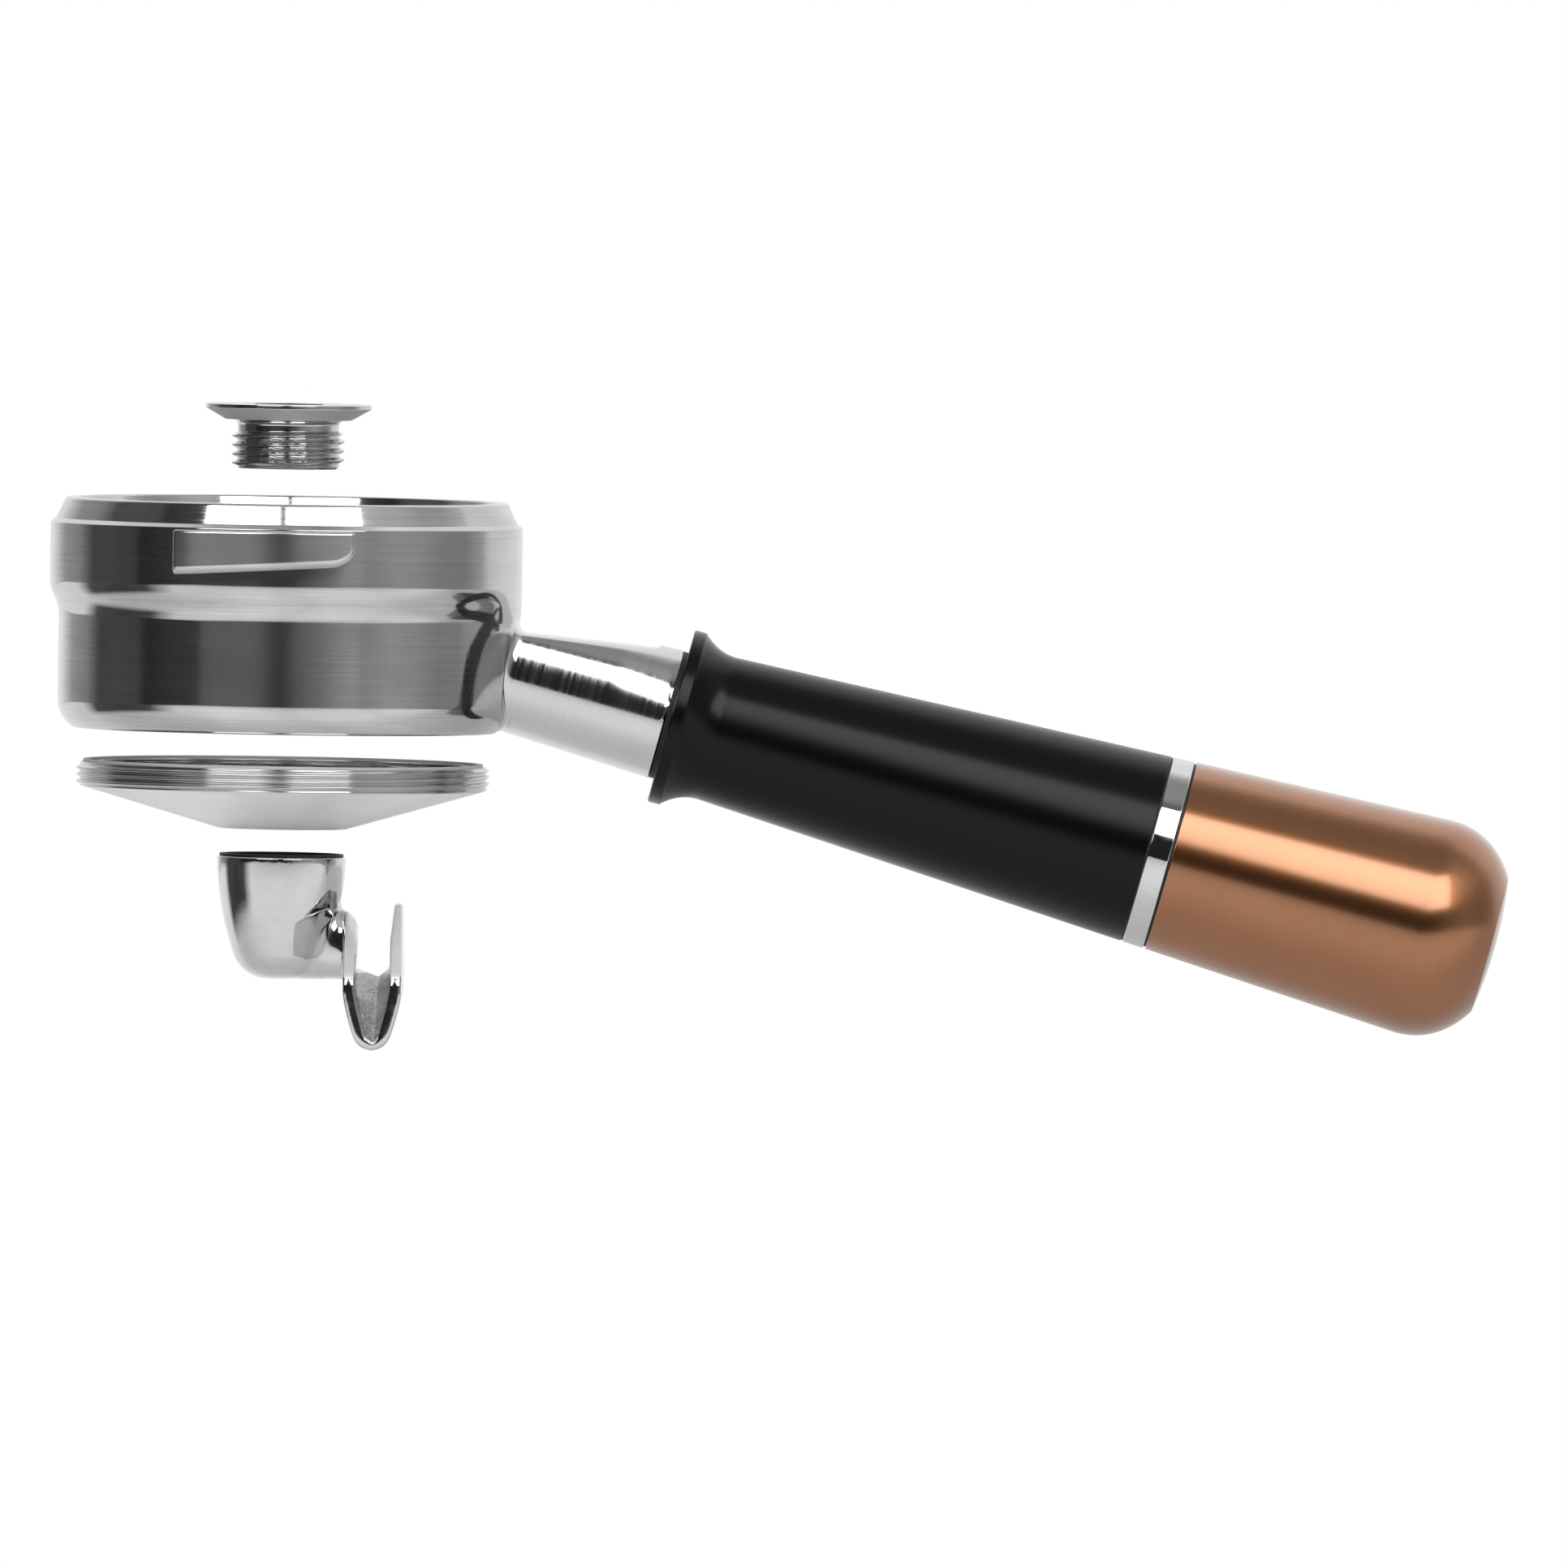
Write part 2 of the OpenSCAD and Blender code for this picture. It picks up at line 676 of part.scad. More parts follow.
module threaded_barrel() {
    color("gray")
        difference() {
            grip_ring(0, barrel_d / 2, barrel_at, barrel_end);
            grip_ring(0, stud_bore_r, barrel_at - 1, stud_at + stud_len + 1);
            grip_ring(0, tie_bore_r, tie_at - slide_gap, barrel_end + 1);
            dowel_hole();
        }
}

module barrel_dowel() {
    color("gainsboro")
        along_grip()
            translate([dowel_at_r, 0, barrel_end - dowel_len / 2])
                cylinder(d = dowel_d, h = dowel_len, $fn = 32);
}

// Tie rod: threaded at both ends and plain between them
module tie_rod() {
    front = turns_in(tie_in_barrel, tie_pitch);
    rear = turns_in(tie_in_weight, tie_pitch);
    root = tie_d / 2 - tie_pitch * 0.54;
    color("gray")
        grip_turned(concat(
            [[0, tie_at], [root, tie_at]],
            ridges(tie_d / 2, root, tie_pitch, tie_at, front),
            [[tie_d / 2, barrel_end], [tie_d / 2, weight_at]],
            ridges(tie_d / 2, root, tie_pitch, weight_at, rear),
            [[root, tie_end], [0, tie_end]]
        ));
}

module front_gasket() {
    color("black")
        grip_ring(tie_clear_r, grip_r(sleeve_end) - slide_gap, sleeve_end, ring_at);
}

module trim_ring() {
    edge = 0.3;
    color("whitesmoke")
        grip_turned([
            [tie_clear_r, ring_at], [grip_r(ring_at) - edge, ring_at],
            [grip_r(ring_at), ring_at + edge], [grip_r(ring_end), ring_end - edge],
            [grip_r(ring_end) - edge, ring_end], [tie_clear_r, ring_end]
        ]);
}

module rear_gasket() {
    color("black")
        grip_ring(tie_clear_r, grip_r(ring_end) - 2 * slide_gap, ring_end, cap_at);
}

// Cap: tapered side, rounded shoulder and domed face, bored for the weight and its snap ring
module end_cap() {
    side_r = grip_r(cap_round_at);
    face_r = cap_face_d / 2;
    drop = side_r - face_r;
    round_r = (pow(cap_round_len, 2) + pow(drop, 2)) / 2 / drop;
    round_angle = asin(cap_round_len / round_r);
    dome_r = (pow(face_r, 2) + pow(cap_dome, 2)) / 2 / cap_dome;
    dome_angle = asin(face_r / dome_r);
    groove = clip_t + 2 * seal_gap;
    color("peru")
        difference() {
            grip_turned(concat(
                [[0, cap_at], [grip_r(cap_at), cap_at]],
                arc(side_r - round_r, cap_round_at, round_r, 0, round_angle, 10),
                arc(0, cap_end - dome_r, dome_r, 90 - dome_angle, 90, 6)
            ));
            grip_ring(0, weight_d / 2, cap_at - 1, weight_at + weight_len + slide_gap);
            grip_ring(0, weight_d / 2 + 0.5, weight_at - groove, weight_at);
        }
}

module balance_weight() {
    color("gray")
        difference() {
            grip_ring(0, weight_d / 2 - press_gap, weight_at, weight_at + weight_len);
            grip_ring(0, tie_bore_r, weight_at - 1, tie_end + 1.5);
        }
}

module weight_clip() {
    outer = weight_d / 2 + 0.5 - seal_gap;
    color("gainsboro")
        along_grip()
            rotate([0, 0, 15])
                rotate_extrude(angle = 330)
                    translate([outer - clip_w, weight_at - seal_gap - clip_t])
                        square([clip_w, clip_t]);
}

head_casting();
basket_spring();
base_plate();
base_gasket();
spout_screw();
spout_casting();
spout_washer();
neck_stud();
collar_washer();
pilot_seal();
grip_sleeve();
threaded_barrel();
barrel_dowel();
tie_rod();
front_gasket();
trim_ring();
rear_gasket();
end_cap();
balance_weight();
weight_clip();
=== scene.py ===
"""Portafilter shown taken apart: modelled pieces, finishes, studio light and camera round the solids."""

from __future__ import annotations

import logging
import math
from collections.abc import Callable
from dataclasses import dataclass, replace
from enum import Enum
from typing import Any

import bpy
import numpy as np
from mathutils import Matrix, Vector

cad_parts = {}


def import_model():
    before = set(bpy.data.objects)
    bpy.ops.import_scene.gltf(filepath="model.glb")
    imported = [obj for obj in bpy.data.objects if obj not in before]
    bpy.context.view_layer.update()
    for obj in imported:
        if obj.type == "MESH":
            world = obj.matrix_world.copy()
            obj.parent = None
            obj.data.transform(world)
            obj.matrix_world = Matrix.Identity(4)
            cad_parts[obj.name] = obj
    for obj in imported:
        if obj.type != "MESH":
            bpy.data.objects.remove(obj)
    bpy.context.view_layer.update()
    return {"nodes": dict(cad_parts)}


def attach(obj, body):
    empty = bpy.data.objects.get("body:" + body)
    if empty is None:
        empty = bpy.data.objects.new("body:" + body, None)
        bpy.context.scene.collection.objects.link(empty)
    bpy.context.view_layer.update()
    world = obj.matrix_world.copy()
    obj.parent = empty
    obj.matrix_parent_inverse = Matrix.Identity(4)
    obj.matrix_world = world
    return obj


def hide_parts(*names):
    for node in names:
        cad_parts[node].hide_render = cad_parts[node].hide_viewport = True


LOG = logging.getLogger("portafilter")
# Shapes are given in millimetres and degrees, and this turns millimetres into Blender's metres
MM = 0.001
Point = tuple[float, float]
Corner = tuple[float, float, float]
Object = bpy.types.Object
Material = bpy.types.Material
NodeTree = bpy.types.NodeTree

# Vertices closer than this, in metres, are one
MERGE = 1e-6
# Degrees between the points of a rounded corner, and the most of a side that its rounding may take up
ARC_STEP = 9.0
CORNER_SHARE = 0.45
# A straight longer than the first, in millimetres, gets holding points at the second from its ends
LONG_SIDE = 0.6
HOLD = 0.05


def clamp(value: float) -> float:
    """Keeps a value between 0 and 1."""
    return max(0.0, min(1.0, value))


def ease(value: float) -> float:
    """Eases a share from 0 to 1, level at both ends."""
    k = clamp(value)
    return k * k * (3 - 2 * k)


def linear(code: str) -> tuple[float, float, float, float]:
    """Turns an sRGB hex colour into linear values.

    Args:
        code: colour as #rrggbb.

    Returns:
        Red, green, blue and an alpha of 1.
    """
    parts = [int(code[i : i + 2], 16) / 255 for i in (1, 3, 5)]
    red, green, blue = (c / 12.92 if c <= 0.04045 else ((c + 0.055) / 1.055) ** 2.4 for c in parts)
    return red, green, blue, 1.0


def add_node(tree: NodeTree, kind: str, links: dict[Any, Any] | None = None, **settings: Any) -> Any:
    """Adds one node with its settings, socket values and links.

    Args:
        tree: node tree that takes the node.
        kind: Blender's type name of the node, without ShaderNode before it.
        links: socket name or number to an output socket that feeds it, or to a plain value.
        settings: attributes of the node by name.

    Returns:
        The new node.
    """
    node = tree.nodes.new("ShaderNode" + kind)
    for key, value in settings.items():
        setattr(node, key, value)
    for key, value in (links or {}).items():
        if isinstance(value, bpy.types.NodeSocket):
            tree.links.new(value, node.inputs[key])
        else:
            node.inputs[key].default_value = value
    return node


def fill_ramp(node: Any, stops: list[Point], low: float, high: float) -> None:
    """Sets a colour ramp's grey stops.

    Args:
        node: colour ramp node.
        stops: place and brightness of each stop, in rising order.
        low: place at the ramp's start.
        high: place at its end.
    """
    elements = node.color_ramp.elements
    while len(elements) > 1:
        elements.remove(elements[-1])
    places = [(place - low) / (high - low) for place, _ in stops]
    elements[0].position = places[0]
    for place in places[1:]:
        elements.new(place)
    for element, (_, grey) in zip(elements, stops):
        element.color = (grey, grey, grey, 1)


def bearing_share(tree: NodeTree, axes: Any) -> Any:
    """Works out the bearing round Z, from -180 to 180 degrees, as a share from 0 to 1.

    Args:
        tree: node tree that takes the nodes.
        axes: X, Y and Z output sockets of a place or direction.

    Returns:
        Output socket with the share, 0.5 on the camera's side.
    """
    ahead = add_node(tree, "Math", {0: axes["Y"], 1: -1.0}, operation="MULTIPLY")
    bearing = add_node(tree, "Math", {0: axes["X"], 1: ahead.outputs[0]}, operation="ARCTAN2")
    turn = {"Value": bearing.outputs[0], "From Min": -math.pi, "From Max": math.pi}
    return add_node(tree, "MapRange", turn).outputs[0]


def select_only(obj: Object) -> None:
    """Makes one object the only selected and the active one.

    Args:
        obj: object to select.
    """
    bpy.ops.object.select_all(action="DESELECT")
    obj.select_set(True)
    bpy.context.view_layer.objects.active = obj


def add_object(add: Callable[..., Any], **settings: Any) -> Object:
    """Adds an object by one of Blender's operators, with nothing else selected.

    Args:
        add: operator that adds the object.
        settings: what the operator is told.

    Returns:
        The new object.
    """
    bpy.ops.object.select_all(action="DESELECT")
    add(**settings)
    return bpy.context.object


def settle(obj: Object) -> Object:
    """Puts an object's place and turn into its mesh.

    Args:
        obj: object to settle.

    Returns:
        The same object.
    """
    select_only(obj)
    bpy.ops.object.transform_apply(location=True, rotation=True, scale=True)
    return obj


def modify(obj: Object, kind: str, **settings: Any) -> None:
    """Adds a modifier and applies it at once.

    Args:
        obj: object to change.
        kind: Blender's modifier type.
        settings: attributes of the modifier.
    """
    select_only(obj)
    modifier = obj.modifiers.new(kind.lower(), kind)
    for key, value in settings.items():
        setattr(modifier, key, value)
    bpy.ops.object.modifier_apply(modifier=modifier.name)


def combine(obj: Object, tool: Object, operation: str) -> None:
    """Joins or cuts an object with a tool, which is then removed.

    Args:
        obj: object to change.
        tool: second solid.
        operation: UNION or DIFFERENCE.
    """
    modify(obj, "BOOLEAN", object=tool, operation=operation, solver="EXACT")
    bpy.data.objects.remove(tool)


def smooth(obj: Object, degrees: float = 28.0) -> Object:
    """Shades an object smooth, with edges sharper than an angle left crisp.

    Args:
        obj: object to shade.
        degrees: angle between faces from which an edge stays crisp.

    Returns:
        The same object.
    """
    select_only(obj)
    bpy.ops.object.shade_smooth_by_angle(angle=math.radians(degrees))
    return obj


def close_mesh(fill: bool) -> None:
    """In edit mode, merges doubles, fills open ends if asked, turns faces outwards and leaves edit mode.

    Args:
        fill: whether open ends are filled.
    """
    bpy.ops.mesh.select_all(action="SELECT")
    bpy.ops.mesh.remove_doubles(threshold=MERGE)
    if fill:
        bpy.ops.mesh.select_all(action="SELECT")
        bpy.ops.mesh.fill_holes(sides=0)
    bpy.ops.mesh.select_all(action="SELECT")
    bpy.ops.mesh.remove_doubles(threshold=MERGE)
    bpy.ops.mesh.delete_loose()
    bpy.ops.mesh.select_all(action="SELECT")
    bpy.ops.mesh.normals_make_consistent(inside=False)
    bpy.ops.object.mode_set(mode="OBJECT")


def join(parts: list[Object], name: str) -> Object:
    """Joins objects into one, named piece.

    Args:
        parts: objects to join, the first of which is kept.
        name: name of the piece.

    Returns:
        The joined piece.
    """
    select_only(parts[0])
    for part in parts[1:]:
        part.select_set(True)
    bpy.ops.object.join()
    parts[0].name = parts[0].data.name = name
    return parts[0]


def soften(corners: list[Corner], closed: bool = True) -> list[Point]:
    """Rounds an outline's corners and adds holding points beside them, so long faces shade straight.

    Args:
        corners: radius, height and rounding of each corner, in millimetres, in order along the outline.
        closed: whether the last corner runs back to the first.

    Returns:
        Points of the outline, with the first repeated at the end of a closed one.
    """
    points: list[np.ndarray] = []
    count = len(corners)
    for i, (x, y, size) in enumerate(corners):
        here = np.array((x, y))
        if size <= 0 or (not closed and i in (0, count - 1)):
            points.append(here)
            continue
        before = np.array(corners[i - 1][:2]) - here
        after = np.array(corners[(i + 1) % count][:2]) - here
        length = min(np.linalg.norm(before), np.linalg.norm(after))
        before, after = before / np.linalg.norm(before), after / np.linalg.norm(after)
        half = math.acos(max(-1.0, min(1.0, float(before @ after)))) / 2
        reach = min(size / math.tan(half), CORNER_SHARE * length)
        middle = before + after
        centre = here + middle / np.linalg.norm(middle) * reach / math.cos(half)
        first, last = here + before * reach - centre, here + after * reach - centre
        turn = math.atan2(first[0] * last[1] - first[1] * last[0], float(first @ last))
        steps = max(2, math.ceil(abs(math.degrees(turn)) / ARC_STEP))
        for k in range(steps + 1):
            c, s = math.cos(turn * k / steps), math.sin(turn * k / steps)
            points.append(centre + np.array((c * first[0] - s * first[1], s * first[0] + c * first[1])))
    if closed:
        points.append(points[0])
    held = [points[0]]
    for a, b in zip(points, points[1:]):
        gap = np.linalg.norm(b - a)
        if gap > LONG_SIDE:
            held += [a + (b - a) * HOLD / gap, b - (b - a) * HOLD / gap]
        held.append(b)
    return [(float(p[0]), float(p[1])) for p in held]


def bow(cx: float, cy: float, r: float, start: float, end: float, steps: int = 12) -> list[Corner]:
    """Corners along an arc, in degrees, with no rounding of their own."""
    angles = [math.radians(start + (end - start) * i / steps) for i in range(steps + 1)]
    return [(cx + r * math.cos(a), cy + r * math.sin(a), 0.0) for a in angles]


def draw(name: str, points: list[Corner]) -> Object:
    """Draws a line of edges by extruding one vertex from point to point, and stays in edit mode.

    Args:
        name: name of the object.
        points: places in millimetres.

    Returns:
        The object, in edit mode with everything selected.
    """
    obj = add_object(bpy.ops.mesh.primitive_plane_add, size=MM, location=(0, 0, 0))
    obj.name = obj.data.name = name
    bpy.ops.object.mode_set(mode="EDIT")
    bpy.ops.mesh.select_mode(type="VERT")
    bpy.ops.mesh.merge(type="CENTER")
    bpy.ops.transform.translate(value=Vector(points[0]) * MM)
    for a, b in zip(points, points[1:]):
        step = (Vector(b) - Vector(a)) * MM
        bpy.ops.mesh.extrude_region_move(TRANSFORM_OT_translate={"value": step})
    bpy.ops.mesh.select_all(action="SELECT")
    return obj


def turned(
    name: str, outline: list[Point], segments: int = 160, start: float = 0.0, sweep: float = 360.0
) -> Object:
    """Turns an outline round the Z axis.

    Args:
        name: name of the object.
        outline: radius and height of each point, in millimetres.
        segments: faces round the axis.
        start: angle where the outline is drawn, in degrees.
        sweep: angle turned through, in degrees.

    Returns:
        The turned object.
    """
    c, s = math.cos(math.radians(start)), math.sin(math.radians(start))
    obj = draw(name, [(r * c, r * s, z) for r, z in outline])
    if sweep < 360:
        bpy.ops.mesh.remove_doubles(threshold=MERGE)
        bpy.ops.mesh.select_all(action="SELECT")
    # With no window the operator turns the other way round, so the angle is given negative
    bpy.ops.mesh.spin(steps=segments, angle=-math.radians(sweep), center=(0, 0, 0), axis=(0, 0, 1))
    close_mesh(fill=sweep < 360)
    return obj


def loft(name: str, rows: list[list[Vector]], capped: bool) -> Object:
    """Lays a grid over rows of points that run round a piece.

    Args:
        name: name of the object.
        rows: points of each row in millimetres, with the first point repeated at the end.
        capped: whether the two end rows are filled.

    Returns:
        The lofted object.
    """
    high, wide = len(rows) - 1, len(rows[0]) - 1
    obj = add_object(bpy.ops.mesh.primitive_grid_add, x_subdivisions=wide, y_subdivisions=high, size=2)
    obj.name = obj.data.name = name
    for vertex in obj.data.vertices:
        column = round((vertex.co.x + 1) / 2 * wide)
        row = round((vertex.co.y + 1) / 2 * high)
        vertex.co = rows[row][column] * MM
    bpy.ops.object.mode_set(mode="EDIT")
    close_mesh(fill=capped)
    return obj


@dataclass(frozen=True)
class Thread:
    """Helical thread, in millimetres.

    Attributes:
        crest: radius at the crest.
        pitch: rise of one turn.
        land: share of the pitch that the crest's flat land takes up.
        rounding: how far the flank is rounded off into crest and root, from 0 for straight to 1.
        root: share of the pitch where the flank ends at the root.
        run_out: turns over which the thread grows from nothing at its ends.
        segments: faces round the axis.
        rows_a_turn: rows of faces over one pitch.
    """

    crest: float
    pitch: float
    land: float
    rounding: float
    root: float = 0.92
    run_out: float = 0.4
    segments: int = 192
    rows_a_turn: int = 26

    def radius(self, wall: float, turns: float, share: float) -> float:
        """Radius at a number of turns up the thread, for a share of its full height.

        Args:
            wall: radius of the wall that the thread stands on, in millimetres.
            turns: turns from the thread's root line.
            share: share of the full height, from 0 to 1.

        Returns:
            The radius in millimetres.
        """
        across = abs(2 * (turns % 1.0) - 1)
        rise = clamp((self.root - across) / (self.root - self.land))
        return wall + share * (self.crest - wall) * (rise + self.rounding * (ease(rise) - rise))

    def cut(self, name: str, outline: list[Point], low: float, high: float) -> Object:
        """Turns a closed outline round the Z axis and raises the thread on its straight wall.

        Args:
            name: name of the object.
            outline: radius and height of each point, in millimetres, with the first repeated at the end.
            low: height where the thread starts.
            high: height where it ends.

        Returns:
            The turned object with its thread.
        """
        levels: list[Corner] = []
        for (r, z), (after_r, after_z) in zip(outline, outline[1:]):
            length, count = abs(after_z - z), 1
            if abs(after_r - r) < MERGE and low < (z + after_z) / 2 < high and length > self.pitch:
                count = math.ceil(length / self.pitch * self.rows_a_turn)
            for i in range(count):
                level = z + (after_z - z) * i / count
                share = clamp(min(level - low, high - level) / (self.run_out * self.pitch)) if i else 0.0
                levels.append((r, level, share))
        rows = []
        for wall, z, share in levels:
            row = []
            for i in range(self.segments + 1):
                radius = self.radius(wall, z / self.pitch - i / self.segments, share)
                angle = 2 * math.pi * i / self.segments
                row.append(Vector((radius * math.cos(angle), radius * math.sin(angle), z)))
            rows.append(row)
        return loft(name, rows + rows[:1], capped=False)


# Size of the patches in which colour drifts, in millimetres
CLOUD_MM = 11.1111
# Range that one noise really takes up, and the sum of two
NOISE: Point = (0.3, 0.7)
TWO_NOISES: Point = (0.7, 1.3)
# Least roughness of a surface, and roughness of a clear film
SMOOTHEST = 0.02
FILM_ROUGHNESS = 0.14
# Roughness and anisotropy of the light that marks smear
SMEAR: Point = (0.5, 0.9)


class Marks(Enum):
    """Which way the marks of a finish run."""

    EVEN = "even"
    ROUND_HEAD = "round_head"
    ROUND_GRIP = "round_grip"


@dataclass(frozen=True)
class GripAxis:
    """Axis of the neck and grip, which falls away from the head."""

    drop: float = 15.95
    tilt: float = 14.7

    def along(self) -> Vector:
        """Direction from the head to the grip's end."""
        return Vector((math.cos(math.radians(self.tilt)), 0, -math.sin(math.radians(self.tilt))))

    def above(self) -> Vector:
        """Direction square to the axis, upwards."""
        return Vector((math.sin(math.radians(self.tilt)), 0, math.cos(math.radians(self.tilt))))

    def at(self, station: float, up: float = 0.0, side: float = 0.0) -> Vector:
        """Place at a station along the axis, moved up and sideways, in millimetres."""
        return Vector((0, side, -self.drop)) + self.along() * station + self.above() * up

    def turn(self) -> float:
        """Angle about Y from the Z axis to this one."""
        return math.radians(90 + self.tilt)

    def lay(self, obj: Object) -> Object:
        """Lays a piece turned round Z on to the grip axis, with its place in its mesh.

        Args:
            obj: turned piece.

        Returns:
            The same piece.
        """
        obj.rotation_euler = (0, self.turn(), 0)
        obj.location = (0, 0, -self.drop * MM)
        return settle(obj)


@dataclass(frozen=True)
class Finish:
    """One surface finish, from the material's name and how its surface was made.

    Attributes:
        name: common name of the material and how it was made.
        slot: material slot of the record; not used.
        tint: sRGB colour.
        metallic, roughness, shine: the shader's values.
        spread: how far the roughness wavers from mark to mark.
        mark_mm, depth_mm: width and depth of a mark.
        marks, stretch: way that the marks run, and how many widths long they are.
        shift: how far the colour wavers.
        coat, film: share and index of a clear film.
        brush: share of light that marks round an upright axis smear upwards and downwards.
        grain: how much further marks round the grip blur along it than round it.
    """

    name: str
    slot: str
    tint: str
    metallic: float
    roughness: float
    spread: float
    mark_mm: float
    depth_mm: float
    marks: Marks = Marks.EVEN
    stretch: float = 1.0
    shift: float = 0.06
    shine: float = 0.5
    coat: float = 0.0
    brush: float = 0.0
    film: float = 1.5
    grain: float = 0.0

    def material(self) -> Material:
        """Builds the node material of this finish.

        Returns:
            The material, made once for each finish.
        """
        if self.name in bpy.data.materials:
            return bpy.data.materials[self.name]
        material = bpy.data.materials.new(self.name)
        material.use_nodes = True
        tree = material.node_tree
        tree.nodes.clear()
        place = add_node(tree, "TexCoord").outputs["Object"]
        turn = GripAxis().turn() if self.marks is Marks.ROUND_GRIP else 0.0
        fine = self.mark_mm * MM
        scale = (fine * self.stretch, fine * self.stretch, fine)
        lay = {"Vector": place, "Rotation": (0, turn, 0), "Scale": scale}
        laid = add_node(tree, "Mapping", lay, vector_type="TEXTURE").outputs[0]
        scratch = {"Vector": laid, "Scale": 1.0, "Detail": 3.0, "Roughness": 0.6}
        marks = add_node(tree, "TexNoise", scratch).outputs["Fac"]
        haze = {"Vector": place, "Scale": 1 / (CLOUD_MM * MM), "Detail": 2.0, "Roughness": 0.5}
        cloud = add_node(tree, "TexNoise", haze).outputs["Fac"]
        blend = add_node(tree, "Math", {0: cloud, 1: marks}, operation="ADD").outputs[0]
        span = {"Value": blend, "From Min": TWO_NOISES[0], "From Max": TWO_NOISES[1]}
        half = add_node(tree, "MapRange", span).outputs[0]
        tint = linear(self.tint)[:3]
        low = tuple(c * (1 - self.shift) for c in tint) + (1.0,)
        high = tuple(min(1.0, c * (1 + self.shift)) for c in tint) + (1.0,)
        colour = add_node(tree, "Mix", {0: half, 6: low, 7: high}, data_type="RGBA").outputs[2]
        span = {"Value": marks, "From Min": NOISE[0], "From Max": NOISE[1]}
        least, most = max(SMOOTHEST, self.roughness - self.spread), self.roughness + self.spread
        dull = add_node(tree, "MapRange", span | {"To Min": least, "To Max": most}).outputs[0]
        dent = {"Height": marks, "Strength": 1.0, "Distance": self.depth_mm * MM}
        bump = add_node(tree, "Bump", dent).outputs[0]
        values = {
            "Base Color": colour,
            "Metallic": self.metallic,
            "Roughness": dull,
            "Specular IOR Level": self.shine,
            "Coat Weight": self.coat,
            "Coat Roughness": FILM_ROUGHNESS,
            "Coat IOR": self.film,
            "Anisotropic": self.grain,
            "Anisotropic Rotation": 0.25,
            "Normal": bump,
        }
        if self.grain:
            values["Tangent"] = add_node(tree, "Tangent", direction_type="RADIAL", axis="X").outputs[0]
        surface = add_node(tree, "BsdfPrincipled", values).outputs[0]
        if self.brush:
            round_z = add_node(tree, "Tangent", direction_type="RADIAL", axis="Z").outputs[0]
            smear = {"Color": colour, "Roughness": SMEAR[0], "Anisotropy": SMEAR[1]}
            smear |= {"Tangent": round_z, "Normal": bump}
            streak = add_node(tree, "BsdfAnisotropic", smear).outputs[0]
            surface = add_node(tree, "MixShader", {0: self.brush, 1: surface, 2: streak}).outputs[0]
        add_node(tree, "OutputMaterial", {"Surface": surface})
        return material


# The marks of polishing, brushing and turning are really some hundredths of a millimetre wide. That is too
# fine to show, so all of these finishes draw them at one to six tenths.
# Stainless steel with a fine satin polish: mirror-like, with faint marks that run round the head
SATIN_STEEL = Finish(
    "satin_polished_stainless_steel", "satin_steel", "#cfcfcf", 1.0, 0.08, 0.03, 0.3, 0.0006,
    Marks.ROUND_HEAD, 60.0, 0.1, brush=0.16,
)
# Stainless steel, brushed lengthways: the lugs' faces, with marks that blur the room into soft bands
BRUSHED_STEEL = replace(
    SATIN_STEEL, name="brushed_stainless_steel", tint="#d2d2d2", roughness=0.13, spread=0.04, mark_mm=0.2,
    depth_mm=0.001, brush=0.3,
)
# Stainless steel, polished by hand round the neck: mirror-like, with cross marks at the edges of highlights
HAND_POLISHED = Finish(
    "hand_polished_stainless_steel", "satin_steel", "#d2d2d2", 1.0, 0.12, 0.05, 0.5, 0.001,
    Marks.ROUND_GRIP, 40.0, 0.04,
)
# Stainless steel, mirror polished: sharp reflections and next to no texture
MIRROR_STEEL = Finish(
    "mirror_polished_stainless_steel", "polished_steel", "#d6d6d6", 1.0, 0.05, 0.02, 0.6, 0.0003
)
# Stainless steel fresh from the lathe: fine turning rings that blur reflections along the axis
TURNED_STEEL = replace(
    SATIN_STEEL, name="turned_stainless_steel", tint="#d2d2d2", roughness=0.1, mark_mm=0.22, depth_mm=0.00012,
    shift=0.08, brush=0.3,
)
# The same, turned bright: the thread's flanks stay apart as light and dark lines
BRIGHT_TURNED = replace(TURNED_STEEL, name="bright_turned_stainless_steel", depth_mm=0.0004, brush=0.12)
# Stainless steel, linished round the rim's chamfer: two bright panes of light with soft grey beside them
LINISHED_STEEL = replace(
    SATIN_STEEL, name="linished_stainless_steel", tint="#d0d0d0", roughness=0.09, spread=0.04,
    depth_mm=0.0008, shift=0.12, brush=0.25,
)
# Stainless steel, bead blasted: an even, pale satin that only shows broad light and shade
BLASTED_STEEL = Finish(
    "bead_blasted_stainless_steel", "satin_steel", "#f6f6f6", 0.6, 0.6, 0.05, 0.18, 0.002, shift=0.03
)
# Cast stainless steel, linished along its narrow edges: duller than the polished faces beside them
LINISHED_CAST = Finish(
    "linished_cast_steel", "cast_steel", "#e6e6e6", 0.7, 0.42, 0.06, 0.3, 0.003, shift=0.04
)
# Cast stainless steel, polished by hand: slow waves in the reflections
CAST_STEEL = Finish("polished_cast_steel", "cast_steel", "#d2d2d2", 1.0, 0.08, 0.03, 2.2, 0.012)
# The same casting left as it came from its mould: dull, with grit of a few tenths of a millimetre
ROUGH_CAST = Finish("rough_cast_steel", "cast_steel", "#c8c8c8", 1.0, 0.4, 0.08, 0.55, 0.22, shift=0.6)
# Drawn spring wire: bright, with a faint, even grain
SPRING_WIRE = Finish("drawn_spring_steel", "spring_steel", "#c4c4c4", 1.0, 0.18, 0.05, 0.3, 0.001)
